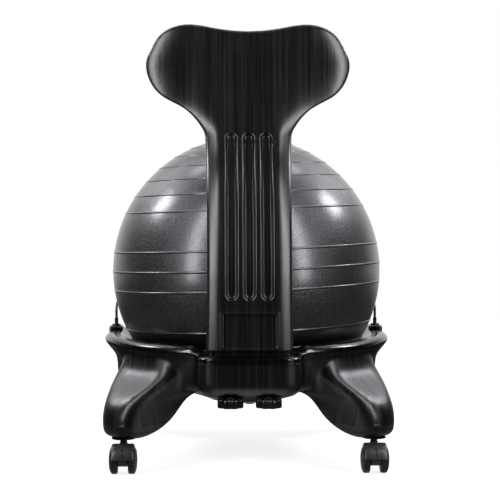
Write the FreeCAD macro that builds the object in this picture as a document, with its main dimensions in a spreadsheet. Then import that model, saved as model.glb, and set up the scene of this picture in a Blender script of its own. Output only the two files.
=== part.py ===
import FreeCAD, Part
import math
import os
import re
import Sketcher
from FreeCAD import Placement, Rotation, Vector

# Balance ball chair: an inflated ball in a moulded ring base on four twin-wheel casters,
# with a moulded T-shaped backrest and a steel rod that keeps the ball in.
# Millimetres. Z is up, the floor is Z = 0, the chair faces +Y and the origin lies on the
# floor under the middle of the ring.

doc = FreeCAD.newDocument("balance_ball_chair")
sheet = doc.addObject("Spreadsheet::Sheet", "Sizes")

DRIVING_SIZES = {
    # the ball
    "ball_radius": 260.0,
    "ball_wall": 2.0,
    "rib_rise": 1.2,
    "rib_half_width": 3.0,
    "belt_rib_angle": 8.4,
    "first_rib_angle": 26.8,
    "rib_step_angle": 8.4,
    "ribs_each_side": 7.0,
    "ball_lean_angle": 4.0,
    "ball_roll_angle": 1.4,
    "plug_radius": 5.0,
    "plug_head_radius": 9.0,
    "plug_length": 16.0,
    "plug_head_rise": 2.0,
    # clearances
    "running_gap": 0.05,
    "soft_gap": 0.3,
    "bolt_gap": 0.5,
    "wheel_gap": 2.2,
    # the ring of the base
    "shell_wall": 3.5,
    "ring_depth": 86.0,
    "rim_margin": 16.0,
    "rim_width": 30.0,
    "rim_overhang": 22.0,
    "seat_inset": 24.0,
    "seat_drop": 17.2,
    "bowl_foot_rise": 12.7,
    "rim_shoulder_drop": 4.0,
    "rim_edge_drop": 12.0,
    "lip_depth": 34.0,
    "ring_edge_radius": 12.0,
    # the legs
    "leg_drop": 82.0,
    "leg_overreach": 76.0,
    "leg_root_depth": 150.0,
    "foot_half_width": 38.0,
    "leg_root_half_width": 73.0,
    # the block that holds the backrest
    "block_side": 14.5,
    "block_drop": 2.0,
    "block_step": 3.0,
    "block_top_radius": 8.0,
    "block_bottom_radius": 14.0,
    "block_corner_radius": 25.0,
    "groove_drop": 21.0,
    "groove_width": 3.0,
    "groove_depth": 2.0,
    "pocket_wall": 10.0,
    "pocket_floor_thickness": 20.0,
    "pocket_gap": 0.6,
    # the backrest
    "back_thickness": 30.0,
    "back_gap": 6.0,
    "back_lean": 139.0,
    "back_rise": 587.0,
    "head_straight": 55.0,
    "waist_rise": 182.0,
    "neck_rise": 372.0,
    "widest_rise": 505.0,
    "back_wall": 3.5,
    "back_edge_radius": 9.0,
    "stem_foot_half_width": 79.0,
    "stem_half_width": 74.2,
    "stem_neck_half_width": 77.5,
    "head_half_width": 188.0,
    "head_dip": 12.5,
    "lobe_half_spacing": 113.0,
    "slot_width": 23.5,
    "slot_pitch": 31.6,
    "slot_rise": 88.0,
    "slot_length": 296.0,
    "slot_depth": 8.0,
    "slot_slope": 4.0,
    "recess_half_width": 49.0,
    "recess_rise": 5.0,
    "recess_height": 61.0,
    "recess_depth": 6.0,
    # the two hand knobs under the block
    "knob_half_spacing": 34.0,
    "knob_radius": 24.2,
    "knob_height": 16.0,
    "knob_scallops": 8.0,
    "scallop_radius": 7.0,
    "scallop_bite": 4.0,
    "bolt_radius": 4.0,
    "bolt_head_radius": 7.5,
    "bolt_head_height": 5.3,
    "insert_radius": 7.0,
    "insert_length": 20.0,
    "washer_radius": 12.0,
    "washer_thickness": 2.0,
    # the rod that keeps the ball in
    "rod_inset": 11.8,
    "rod_end_angle": 12.0,
    "rod_gap": 8.0,
    "rod_stand": 20.0,
    "rod_boss_rise": 7.0,
    "rod_radius": 2.5,
    "rod_tilt_angle": 22.5,
    "rod_side_radius": 200.0,
    "rod_bend_radius": 9.0,
    "rod_depth": 15.0,
    "rod_boss_half_width": 13.5,
    "rod_boss_half_length": 18.0,
    "grommet_radius": 5.0,
    "grommet_flange_radius": 8.25,
    "grommet_flange_thickness": 3.0,
    "ferrule_radius": 3.65,
    "ferrule_height": 12.0,
    # the casters
    "caster_inset": 31.0,
    "neck_length": 2.9,
    "caster_trail": 18.0,
    "wheel_radius": 25.0,
    "wheel_width": 16.0,
    "wheel_spacing": 18.5,
    "wheel_edge": 3.0,
    "hub_radius": 12.0,
    "hub_recess": 2.0,
    "axle_radius": 2.5,
    "web_width": 12.0,
    "web_bottom": 10.0,
    "hood_wall": 2.4,
    "hood_side_gap": 0.6,
    "boss_radius": 8.0,
    "stem_radius": 4.0,
    "stem_length": 69.0,
    "stem_bottom": 29.0,
    "collar_radius": 6.2,
    "collar_height": 3.2,
    "ring_groove_depth": 0.6,
    "grip_ring_height": 6.0,
    "grip_ring_below_tip": 4.0,
    "grip_ring_rise": 1.1,
    "socket_flange_radius": 21.5,
    "socket_flange_thickness": 2.0,
    "socket_radius": 8.0,
    "socket_cover": 3.0,
}

# sizes that follow from the driving ones, from the floor up and from the ball outwards
DERIVED_SIZES = {
    "hood_radius": "wheel_radius + wheel_gap + hood_wall",
    "hood_top": "wheel_radius + hood_radius",
    "foot_bottom": "hood_top + soft_gap + collar_height + neck_length + socket_flange_thickness",
    "ring_bottom": "foot_bottom + leg_drop",
    "rim_top": "ring_bottom + ring_depth",
    "rim_outer_radius": "ball_radius + rim_margin",
    "rim_inner_radius": "rim_outer_radius - rim_width",
    "ring_outer_radius": "rim_outer_radius - rim_overhang",
    "seat_top_radius": "rim_inner_radius - seat_inset",
    "bowl_radius": "ball_radius + rib_rise + soft_gap",
    "ball_height": "rim_top - seat_drop + sqrt(bowl_radius ^ 2 - seat_top_radius ^ 2)",
    "bowl_foot": "ring_bottom + bowl_foot_rise",
    "ring_hole_radius": "sqrt(bowl_radius ^ 2 - (ball_height - bowl_foot) ^ 2)",
    "leg_reach": "rim_outer_radius + leg_overreach",
    "caster_offset": "(leg_reach - caster_inset) / sqrt(2)",
    "back_face": "ball_radius + back_gap + back_thickness",
    "bolt_line": "back_face - back_thickness / 2",
    "block_back": "back_face + pocket_wall",
    "block_half_width": "stem_foot_half_width + block_side",
    "block_bottom": "ring_bottom - block_drop",
    "block_top": "rim_top - block_step",
    "groove_height": "block_top - groove_drop",
    "pocket_floor": "block_bottom + pocket_floor_thickness",
    "back_bottom": "pocket_floor + pocket_gap",
    "head_top": "block_top + back_rise",
    "stem_waist_height": "block_top + waist_rise",
    "stem_neck_height": "block_top + neck_rise",
    "head_widest_height": "block_top + widest_rise",
    "bend_start": "ball_height",
    "bend_end": "head_top - head_straight",
    "slot_bottom": "block_top + slot_rise",
    "slot_top": "slot_bottom + slot_length",
    "recess_bottom": "block_top + recess_rise",
    "recess_top": "recess_bottom + recess_height",
    "rod_circle": "rim_outer_radius - rod_inset",
    "rod_end_across": "rod_circle * cos(rod_end_angle)",
    "rod_end_forward": "rod_circle * sin(rod_end_angle)",
    "rod_reach": "ball_radius + rod_gap",
    "rod_boss_top": "rim_top + rod_boss_rise",
    "rod_bend_height": "rod_boss_top + grommet_flange_thickness + ferrule_height + rod_stand",
    "stem_tip": "stem_bottom + stem_length",
    "socket_top": "stem_tip + socket_cover",
    "knob_seat": "block_bottom - washer_thickness",
}

for row, (alias, value) in enumerate(DRIVING_SIZES.items(), start=1):
    sheet.set("A%d" % row, alias)
    sheet.set("B%d" % row, str(value))
    sheet.setAlias("B%d" % row, alias)
doc.recompute()


def bound(words):
    """A formula of size names, as an expression on the sheet's cells."""
    def cell(match):
        word = match.group()
        if word in DERIVED_SIZES:
            return "(" + bound(DERIVED_SIZES[word]) + ")"
        return "Sizes." + word if word in DRIVING_SIZES else word
    return re.sub("[a-z_]+", cell, words)


def size(words):
    """The value of a formula of size names."""
    return float(sheet.evalExpression(bound(words)))


NODES = []


# Helpers for pieces that are sketched, padded and turned

def new_body(label):
    body = doc.addObject("PartDesign::Body", "Body_" + label)
    body.Label = label
    NODES.append(body)
    return body


def place(piece, across="0", forward="0", up="0"):
    """Puts a piece where three expressions say."""
    for axis, expression in zip("xyz", (across, forward, up)):
        piece.setExpression("Placement.Base." + axis, bound(expression))


def new_sketch(body, name, plane, offset="0"):
    sketch = body.newObject("Sketcher::SketchObject", name + "_" + body.Label)
    origin_plane = [f for f in body.Origin.OriginFeatures if f.Role == plane + "_Plane"][0]
    sketch.AttachmentSupport = [(origin_plane, "")]
    sketch.MapMode = "FlatFace"
    sketch.setExpression("AttachmentOffset.Base.z", bound(offset))
    return sketch


def draw_circle(sketch, radius, right="0", up="0"):
    centre = Vector(size(right), size(up), 0)
    index = sketch.addGeometry(Part.Circle(centre, Vector(0, 0, 1), size(radius)), False)
    for kind, expression in (("DistanceX", right), ("DistanceY", up)):
        held = sketch.addConstraint(Sketcher.Constraint(kind, -1, 1, index, 3, size(expression)))
        sketch.setExpression("Constraints[%d]" % held, bound(expression))
    held = sketch.addConstraint(Sketcher.Constraint("Radius", index, size(radius)))
    sketch.setExpression("Constraints[%d]" % held, bound(radius))


def draw_outline(sketch, corners):
    """A closed outline of straight sides, whose corners are pairs of expressions."""
    points = [Vector(size(right), size(up), 0) for right, up in corners]
    first = sketch.GeometryCount
    count = len(points)
    for index, start in enumerate(points):
        sketch.addGeometry(Part.LineSegment(start, points[(index + 1) % count]), False)
    for index in range(count):
        following = first + (index + 1) % count
        sketch.addConstraint(Sketcher.Constraint("Coincident", first + index, 2, following, 1))
    for index, corner in enumerate(corners):
        for kind, expression, value in zip(("DistanceX", "DistanceY"), corner, points[index]):
            held = sketch.addConstraint(
                Sketcher.Constraint(kind, -1, 1, first + index, 1, value))
            sketch.setExpression("Constraints[%d]" % held, bound(expression))


def pad(body, name, sketch, length, both_ways=False):
    feature = body.newObject("PartDesign::Pad", name + "_" + body.Label)
    feature.Profile = sketch
    feature.setExpression("Length", bound(length))
    feature.Midplane = both_ways
    return feature


def pocket(body, name, sketch, length=None, both_ways=False, reverse=False):
    """Cuts a sketch into the piece: to a depth, or right through where none is given."""
    feature = body.newObject("PartDesign::Pocket", name + "_" + body.Label)
    feature.Profile = sketch
    if length is None:
        feature.Type = "ThroughAll"
    else:
        feature.setExpression("Length", bound(length))
    feature.Midplane = both_ways
    feature.Reversed = reverse
    return feature


def turned(label, corners):
    """A piece of revolution about Z, from the corners of its half section."""
    body = new_body(label)
    sketch = new_sketch(body, "section", "XZ")
    draw_outline(sketch, corners)
    feature = body.newObject("PartDesign::Revolution", "turned_" + label)
    feature.Profile = sketch
    feature.ReferenceAxis = (sketch, ["V_Axis"])
    feature.Angle = 360
    return body


def round_edges(body, name, radius, chosen):
    """Rounds the edges of the body's last feature for which chosen(edge) holds."""
    doc.recompute()
    base = body.Tip
    edges = ["Edge%d" % i for i, edge in enumerate(base.Shape.Edges, start=1) if chosen(edge)]
    feature = body.newObject("PartDesign::Fillet", name + "_" + body.Label)
    feature.Base = (base, edges)
    feature.setExpression("Radius", bound(radius))
    return feature


# Helpers for the moulded shells, whose free curves are made with surfaces

def shell_piece(label, shape):
    piece = doc.addObject("Part::Feature", label)
    piece.Label = label
    piece.Shape = shape
    NODES.append(piece)
    return piece


def closed_face(edges):
    return Part.Face(Part.Wire(edges))


def line(start, end):
    return Part.LineSegment(Vector(*start), Vector(*end)).toShape()


def arc(start, middle, end):
    return Part.Arc(Vector(*start), Vector(*middle), Vector(*end)).toShape()


def box(low, high):
    spans = [high[axis] - low[axis] for axis in range(3)]
    return Part.makeBox(spans[0], spans[1], spans[2], Vector(*low))


def upright_cylinder(radius, low, high, across=0.0, forward=0.0):
    return Part.makeCylinder(radius, high - low, Vector(across, forward, low))


# The base: ring, four legs, the block for the backrest and two bosses for the rod

def ring_section(wall):
    """Half section of the ring, drawn in by a wall thickness: 0 gives the outside."""
    bottom = size("ring_bottom") + wall
    top = size("rim_top") - wall
    hole = size("ring_hole_radius") + wall
    seat_top = size("seat_top_radius") + wall / 2
    rim_inner = size("rim_inner_radius") + wall / 2
    rim_outer = size("rim_outer_radius") - wall
    outer = size("ring_outer_radius") - wall
    edge = top - size("rim_edge_drop") + wall
    shoulder = top - size("rim_shoulder_drop")
    lip = size("rim_top - lip_depth") + wall
    neck = lip - size("lip_depth") / 2
    round_off = size("ring_edge_radius")
    bowl = size("bowl_radius") + wall
    ball_height = size("ball_height")

    def bowl_point(radius):
        return (radius, 0, ball_height - math.sqrt(bowl ** 2 - radius ** 2))

    crown = ((rim_inner + rim_outer) / 2, 0, top)
    diagonal = round_off * (1 - math.sqrt(0.5))
    corners = [
        line((hole, 0, bottom), bowl_point(hole)),
        arc(bowl_point(hole), bowl_point((hole + seat_top) / 2), bowl_point(seat_top)),
        line(bowl_point(seat_top), (rim_inner, 0, shoulder)),
        arc((rim_inner, 0, shoulder), crown, (rim_outer, 0, edge)),
        line((rim_outer, 0, edge), (outer + round_off / 2, 0, lip)),
        arc((outer + round_off / 2, 0, lip), (outer + round_off / 8, 0, (lip + neck) / 2),
            (outer, 0, neck)),
        line((outer, 0, neck), (outer, 0, bottom + round_off)),
        arc((outer, 0, bottom + round_off),
            (outer - diagonal, 0, bottom + diagonal),
            (outer - round_off, 0, bottom)),
        line((outer - round_off, 0, bottom), (hole, 0, bottom)),
    ]
    return closed_face(corners)


def leg_section(level, wall):
    """One level of a leg: height, inner end, outer end, half widths and corner radius."""
    height, inner, outer, inner_half, outer_half, corner = level
    inner += wall
    outer -= wall
    inner_half -= wall
    outer_half -= wall
    corner = max(corner - wall, 1.0)
    inner_corner = min(corner, 10.0)

    def rounded(point, before, after, radius):
        """The start, middle and end of a corner's arc."""
        point = Vector(*point)
        to_before = (Vector(*before) - point).normalize()
        to_after = (Vector(*after) - point).normalize()
        half = to_before.getAngle(to_after) / 2
        start = point + to_before * (radius / math.tan(half))
        end = point + to_after * (radius / math.tan(half))
        inward = (to_before + to_after).normalize()
        middle = point + inward * (radius / math.sin(half) - radius)
        return start, middle, end

    outline = [(inner, -inner_half, height), (outer, -outer_half, height),
               (outer, outer_half, height), (inner, inner_half, height)]
    radii = [inner_corner, corner, corner, inner_corner]
    arcs = [rounded(point, outline[i - 1], outline[(i + 1) % 4], radii[i])
            for i, point in enumerate(outline)]
    edges = []
    for i, (start, middle, end) in enumerate(arcs):
        edges.append(Part.Arc(start, middle, end).toShape())
        edges.append(Part.LineSegment(end, arcs[(i + 1) % 4][0]).toShape())
    return Part.Wire(edges)


def leg_levels():
    """The leg along +X, from the foot up into the ring."""
    reach = size("leg_reach")
    foot = size("foot_half_width")
    root = size("leg_root_half_width")
    bottom = size("foot_bottom")
    ring = size("ring_outer_radius")
    top = size("rim_top - lip_depth")
    climb = top - bottom
    root_end = reach - size("leg_root_depth")
    rises = [
        # share of the climb, inner end, outer end, half widths, corner radius
        (0.00, reach - 70, reach - 8, foot - 4, foot - 4, 24.0),
        (0.08, reach - 82, reach - 1, foot + 2, foot, 28.0),
        (0.20, reach - 102, reach, foot + 12, foot, 29.0),
        (0.38, reach - 120, reach - 8, foot + 20, foot + 3, 28.0),
        (0.55, reach - 140, ring + 62, foot + 27, foot + 15, 24.0),
        (0.72, root_end, ring + 38, root, root - 10, 16.0),
        (0.88, root_end, ring + 16, root, root - 2, 12.0),
        (1.00, root_end, ring + 8, root, root - 3, 12.0),
        (1.10, root_end, ring + 8, root, root - 6, 12.0),
    ]
    return [(bottom + share * climb,) + tuple(rest) for share, *rest in rises]


def leg_solid(wall):
    levels = leg_levels()
    if wall:
        levels = [(levels[0][0] + wall,) + levels[0][1:]] + levels[1:]
    return Part.makeLoft([leg_section(level, wall) for level in levels], True)


def on_each_leg(solid):
    """Four copies of a solid made along +X, turned to the corners of the chair."""
    copies = []
    for quarter in range(4):
        copy = solid.copy()
        copy.rotate(Vector(0, 0, 0), Vector(0, 0, 1), 45 + 90 * quarter)
        copies.append(copy)
    return copies


def vertical(edge, low, high):
    """True for a straight upright edge that runs from low to high."""
    ends = sorted(vertex.Z for vertex in edge.Vertexes)
    spread = math.hypot(edge.BoundBox.XLength, edge.BoundBox.YLength)
    return len(ends) == 2 and spread < 1e-6 and ends[0] <= low + 1e-6 and ends[1] >= high - 1e-6


def block_solid():
    half = size("block_half_width")
    back = -size("block_back")
    front = -size("ring_outer_radius") + size("shell_wall") * 3
    bottom = size("block_bottom")
    top = size("block_top")
    block = box((-half, back, bottom), (half, front, top))
    corners = [edge for edge in block.Edges
               if vertical(edge, bottom, top) and edge.BoundBox.YMin < back + 1e-6]
    block = block.makeFillet(size("block_corner_radius"), corners)
    for height, radius in ((bottom, size("block_bottom_radius")),
                           (top, size("block_top_radius"))):
        rims = [edge for edge in block.Edges
                if abs(edge.BoundBox.ZMin - height) < 1e-6 and edge.BoundBox.ZLength < 1e-6
                and edge.BoundBox.YMin < front - 1e-6]
        block = block.makeFillet(radius, rims)
    return block


def block_groove():
    """The line that runs round the block under its lip."""
    half = size("block_half_width")
    back = size("block_back")
    depth = size("groove_depth")
    low = size("groove_height") - size("groove_width") / 2
    high = low + size("groove_width")
    round_off = size("block_corner_radius")
    outside = box((-2 * half, -2 * back, low), (2 * half, -size("rim_outer_radius"), high))
    core = box((depth - half, depth - back, low), (half - depth, 0, high))
    corners = [edge for edge in core.Edges
               if vertical(edge, low, high) and edge.BoundBox.YMin < -1.0]
    return outside.cut(core.makeFillet(round_off - depth, corners))


def pocket_box(extra):
    """The pocket for the backrest's foot, grown by extra on its sides and floor."""
    gap = size("pocket_gap") + extra
    half = size("stem_foot_half_width") + gap
    back = -size("back_face") - gap
    front = -size("back_face - back_thickness") + gap
    floor = size("pocket_floor") - extra
    return box((-half, back, floor), (half, front, size("block_top") + 1))


def rod_bosses():
    half = size("rod_boss_half_width")
    length = size("rod_boss_half_length")
    forward = size("rod_end_forward")
    top = size("rod_boss_top")
    low = size("rim_top - rim_edge_drop")
    bosses = []
    for side in (-1, 1):
        middle = side * size("rod_end_across")
        boss = box((middle - half, forward - length, low), (middle + half, forward + length, top))
        upright = [edge for edge in boss.Edges if vertical(edge, low, top)]
        bosses.append(boss.makeFillet(half / 4, upright))
    return bosses


def base_shape():
    wall = size("shell_wall")
    axis = (Vector(0, 0, 0), Vector(0, 0, 1))
    outside = ring_section(0).revolve(*axis, 360)
    outside = outside.fuse(on_each_leg(leg_solid(0)) + [block_solid()] + rod_bosses())
    hollow = ring_section(wall).revolve(*axis, 360)
    hollow = hollow.fuse(on_each_leg(leg_solid(wall)))

    # what stays solid inside the hollow: round each socket, rod end and the pocket
    forward = size("rod_end_forward")
    reach = size("caster_offset") * math.sqrt(2)
    foot = size("foot_bottom")
    socket_top = size("socket_top")
    kept = on_each_leg(
        upright_cylinder(size("socket_radius") + wall, foot, socket_top + wall, reach))
    rod_low = size("rod_boss_top - rod_depth - running_gap")
    for side in (-1, 1):
        across = side * size("rod_end_across")
        kept.append(upright_cylinder(size("grommet_radius") + wall, rod_low - 2 * wall,
                                     size("rod_boss_top"), across, forward))
    kept.append(block_solid())
    hollow = hollow.cut(kept)

    # what is cut from the outside: the bowl, sockets, pocket, groove and bores
    cuts = [pocket_box(0), block_groove()]
    cuts += on_each_leg(upright_cylinder(size("socket_radius"), foot - 1, socket_top, reach))
    for side in (-1, 1):
        across = side * size("rod_end_across")
        cuts.append(upright_cylinder(size("grommet_radius"), rod_low,
                                     size("rod_boss_top") + 1, across, forward))
        cuts.append(upright_cylinder(size("bolt_radius + bolt_gap"),
                                     size("block_bottom") - 1,
                                     size("pocket_floor") + 1,
                                     side * size("knob_half_spacing"), -size("bolt_line")))
    bowl = Part.makeSphere(size("bowl_radius"), Vector(0, 0, size("ball_height")))
    return outside.cut([hollow, bowl] + cuts).removeSplitter()


# The backrest: its outline is cut from a bent slab, rounded, hollowed and grooved

def bent_slab(near, far):
    """The slab between two depths from the backrest's rear face, wide enough for the head."""
    lean = size("back_lean")
    low = size("bend_start")
    high = size("bend_end")
    turn = 2 * math.atan2(lean, high - low)
    radius = (high - low) / (2 * math.sin(turn))
    face = -size("back_face")
    floor = 0.0
    roof = size("head_top") * 1.1
    half_turn = turn / 2

    def rear_curve(depth):
        lower = radius - depth
        upper = radius + depth
        lower_centre = (face + radius, low)
        upper_centre = (face + lean - radius, high)
        points = [(face + depth, floor), (face + depth, low)]
        for angle in (half_turn, turn):
            points.append((lower_centre[0] - lower * math.cos(angle),
                           lower_centre[1] + lower * math.sin(angle)))
        points.append((upper_centre[0] + upper * math.cos(half_turn),
                       upper_centre[1] - upper * math.sin(half_turn)))
        points.append((upper_centre[0] + upper, high))
        points.append((upper_centre[0] + upper, roof))
        return [(0, forward, height) for forward, height in points]

    rear = rear_curve(near)
    front = rear_curve(far)
    edges = []
    for side in (rear, front):
        edges += [line(side[0], side[1]), arc(side[1], side[2], side[3]),
                  arc(side[3], side[4], side[5]), line(side[5], side[6])]
    edges += [line(rear[0], front[0]), line(rear[6], front[6])]
    half = size("head_half_width") + size("back_thickness")
    face_outline = Part.Face(Part.Wire(Part.__sortEdges__(edges)))
    face_outline.translate(Vector(-half, 0, 0))
    return face_outline.extrude(Vector(2 * half, 0, 0))


def back_outline(wall):
    """The outline seen from behind, drawn in by a wall thickness, as an upright prism."""
    foot = size("stem_foot_half_width") - wall
    waist = size("stem_half_width") - wall
    neck = size("stem_neck_half_width") - wall
    neck_height = size("stem_neck_height")
    widest = size("head_half_width") - wall
    widest_height = size("head_widest_height")
    top = size("head_top") - wall
    lobe = size("lobe_half_spacing")
    bottom = size("back_bottom") + wall
    waist_height = size("stem_waist_height")
    flare = widest - neck
    # the right-hand side, from the foot up the stem, out over the shoulder and up to the lobe
    side = [
        (foot, bottom),
        (waist, waist_height),
        (neck, neck_height),
        (neck + 0.10 * flare, neck_height + 0.22 * (widest_height - neck_height)),
        (neck + 0.33 * flare, neck_height + 0.43 * (widest_height - neck_height)),
        (neck + 0.60 * flare, neck_height + 0.555 * (widest_height - neck_height)),
        (neck + 0.85 * flare, neck_height + 0.715 * (widest_height - neck_height)),
        (widest, widest_height),
        (widest - 0.07 * flare, widest_height + 0.42 * (top - widest_height)),
        (lobe + 0.58 * (widest - lobe), widest_height + 0.82 * (top - widest_height)),
        (lobe, top),
        (0.55 * lobe, top - 0.52 * size("head_dip")),
        (0.0, top - size("head_dip")),
    ]
    curve = Part.BSplineCurve()
    curve.interpolate(Points=[Vector(across, 0, height) for across, height in side],
                      InitialTangent=Vector(0, 0, 1), FinalTangent=Vector(-1, 0, 0))
    right = curve.toShape()
    left = right.mirror(Vector(0, 0, 0), Vector(1, 0, 0))
    edges = [right, left, line((-foot, 0, bottom), (foot, 0, bottom))]
    face = Part.Face(Part.Wire(Part.__sortEdges__(edges)))
    depth = 2 * size("back_face")
    face.translate(Vector(0, -depth, 0))
    return face.extrude(Vector(0, depth, 0))


def slot_prism(width, low, high, across):
    """A round-ended slot as a prism through the backrest, seen from behind."""
    radius = width / 2
    depth = 2 * size("back_face")
    ends = [(across - radius, 0, low + radius), (across, 0, low), (across + radius, 0, low + radius),
            (across + radius, 0, high - radius), (across, 0, high), (across - radius, 0, high - radius)]
    face = closed_face([arc(ends[0], ends[1], ends[2]), line(ends[2], ends[3]),
                        arc(ends[3], ends[4], ends[5]), line(ends[5], ends[0])])
    face.translate(Vector(0, -depth, 0))
    return face.extrude(Vector(0, depth, 0))


def back_recesses(grow):
    """The three slots and the square recess, each a step deep; grow adds a wall round them."""
    width = size("slot_width") + 2 * grow
    slope = size("slot_slope")
    low = size("slot_bottom") - grow
    high = size("slot_top") + grow
    half_depth = size("slot_depth") / 2
    recesses = []
    upper = bent_slab(-1.0, half_depth + grow)
    lower = bent_slab(-1.0, 2 * half_depth + grow)
    for step in (-1, 0, 1):
        across = step * size("slot_pitch")
        recesses.append(slot_prism(width, low, high, across).common(upper))
        recesses.append(
            slot_prism(width - 2 * slope, low + slope, high - slope, across).common(lower))
    half = size("recess_half_width") + grow
    depth = 2 * size("back_face")
    square = box((-half, -depth, size("recess_bottom") - grow),
                 (half, 0, size("recess_top") + grow))
    recesses.append(square.common(bent_slab(-1.0, size("recess_depth") + grow)))
    return recesses


def insert_places():
    """Where the two threaded inserts stand, as the middle of each one's lower end."""
    bottom = size("back_bottom")
    return [Vector(side * size("knob_half_spacing"), -size("bolt_line"), bottom)
            for side in (-1, 1)]


def backrest_shape():
    thickness = size("back_thickness")
    wall = size("back_wall")
    outside = back_outline(0).common(bent_slab(0, thickness))
    rims = [edge for edge in outside.Edges if edge.BoundBox.ZMax > size("block_top")
            and edge.BoundBox.ZLength > thickness]
    outside = outside.makeFillet(size("back_edge_radius"), rims)
    hollow = back_outline(2 * wall).common(bent_slab(wall, thickness - wall))
    kept = back_recesses(wall)
    for spot in insert_places():
        kept.append(upright_cylinder(size("insert_radius") + wall, spot.z,
                                     spot.z + size("insert_length") + 2 * wall,
                                     spot.x, spot.y))
    hollow = hollow.cut(kept)
    cuts = [hollow] + back_recesses(0)
    for spot in insert_places():
        cuts.append(upright_cylinder(size("insert_radius"), spot.z - 1,
                                     spot.z + size("insert_length"), spot.x, spot.y))
    return outside.cut(cuts)


# The rod: two upright ends, each bent into one flat tilted hoop round the front of the ball

def rod_shape():
    across = size("rod_end_across")
    forward = size("rod_end_forward")
    bend = size("rod_bend_height")
    low = size("rod_boss_top - rod_depth")
    tilt = math.radians(size("rod_tilt_angle"))
    side_radius = size("rod_side_radius")
    bend_radius = size("rod_bend_radius")
    along = (size("rod_reach") - forward) / math.cos(tilt)
    inset = across - side_radius
    front_radius = (inset ** 2 + along ** 2 - side_radius ** 2) / (2 * (along - side_radius))

    def on_hoop(right, run):
        return (right, forward + run * math.cos(tilt), bend + run * math.sin(tilt))

    # the upright end turns into the hoop's plane on an arc tangent to both
    setback = bend_radius * math.tan((math.pi / 2 - tilt) / 2)
    run_in = line(on_hoop(across, setback), on_hoop(across, 2 * setback))
    start = 2 * setback
    meet = math.atan2(front_radius - along, inset)
    side_centre = (inset, start)
    # the side arc and the front arc share a tangent where their centres line up
    along -= start
    front_radius = (inset ** 2 + along ** 2 - side_radius ** 2) / (2 * (along - side_radius))
    meet = math.atan2(front_radius - along, inset)

    def side_point(angle):
        return on_hoop(side_centre[0] + side_radius * math.cos(angle),
                       side_centre[1] + side_radius * math.sin(angle))

    joint = side_point(meet)
    knee_middle = math.pi / 4 + tilt / 2
    centre = (forward + bend_radius, bend - setback)
    knee = [(across, forward, bend - setback),
            (across, centre[0] - bend_radius * math.sin(knee_middle),
             centre[1] + bend_radius * math.cos(knee_middle)),
            on_hoop(across, setback)]
    half = [line((across, forward, low), knee[0]), arc(*knee), run_in,
            arc(side_point(0), side_point(meet / 2), joint)]
    front = on_hoop(0, start + along)
    mirrored_joint = (-joint[0], joint[1], joint[2])
    edges = half + [arc(joint, front, mirrored_joint)]
    for edge in reversed(half):
        edges.append(edge.mirror(Vector(0, 0, 0), Vector(1, 0, 0)))
    path = Part.Wire(Part.__sortEdges__(edges))
    section = Part.Wire(Part.makeCircle(size("rod_radius"), Vector(across, forward, low),
                                        Vector(0, 0, 1)))
    return path.makePipeShell([section], True, False)


# The ball: a thin skin with low moulded ribs round its own axis

def ball_section():
    """Half section of the skin about Z, centred on the ball: the ribs are small bumps."""
    radius = size("ball_radius")
    inner = radius - size("ball_wall")
    rise = size("rib_rise")
    half = math.degrees(size("rib_half_width") / radius)
    belt = size("belt_rib_angle")
    first = size("first_rib_angle")
    step = size("rib_step_angle")
    upper = [0, belt] + [first + step * i for i in range(int(size("ribs_each_side")))]
    ribs = sorted([-angle for angle in upper if angle] + upper)
    pole = 90 - math.degrees(math.asin(size("plug_radius") / radius))

    def at(distance, angle):
        return (distance * math.cos(math.radians(angle)), 0,
                distance * math.sin(math.radians(angle)))

    edges = []
    here = -pole
    for rib in ribs:
        edges.append(arc(at(radius, here), at(radius, (here + rib - half) / 2),
                         at(radius, rib - half)))
        edges.append(arc(at(radius, rib - half), at(radius + rise, rib), at(radius, rib + half)))
        here = rib + half
    edges.append(arc(at(radius, here), at(radius, (here + 90) / 2), at(radius, 90)))
    edges.append(line(at(radius, 90), at(inner, 90)))
    inner_pole = 90 - math.degrees(math.asin(size("plug_radius") / inner))
    edges.append(arc(at(inner, 90), at(inner, 0), at(inner, -inner_pole)))
    edges.append(line(at(inner, -inner_pole), at(radius, -pole)))
    return closed_face(edges)


def ball_placement():
    lean = Rotation(Vector(1, 0, 0), -size("ball_lean_angle"))
    roll = Rotation(Vector(0, 1, 0), -size("ball_roll_angle"))
    return Placement(Vector(0, 0, size("ball_height")), roll.multiply(lean))


def ball_plug_shape():
    """The air plug at the lower pole: a flat head and a tapered plug with a rim."""
    radius = size("ball_radius")
    head = size("plug_head_radius")
    shaft = size("plug_radius")
    seat = radius * math.cos(math.asin(shaft / radius))
    low = -radius - size("plug_head_rise")
    flat = -radius * math.cos(math.asin(head / radius))
    tip = -seat + size("plug_length")
    face = closed_face([line((0, 0, low), (head - 1, 0, low)), line((head - 1, 0, low), (head, 0, flat)),
                        arc((head, 0, flat),
                            ((head + shaft) / 2, 0,
                             -radius * math.cos(math.asin((head + shaft) / 2 / radius))),
                            (shaft, 0, -seat)),
                        line((shaft, 0, -seat), (shaft, 0, tip - shaft / 2)),
                        line((shaft, 0, tip - shaft / 2), (shaft / 2, 0, tip)),
                        line((shaft / 2, 0, tip), (0, 0, tip)), line((0, 0, tip), (0, 0, low))])
    return face.revolve(Vector(0, 0, 0), Vector(0, 0, 1), 360)


# The small turned and padded pieces

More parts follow.
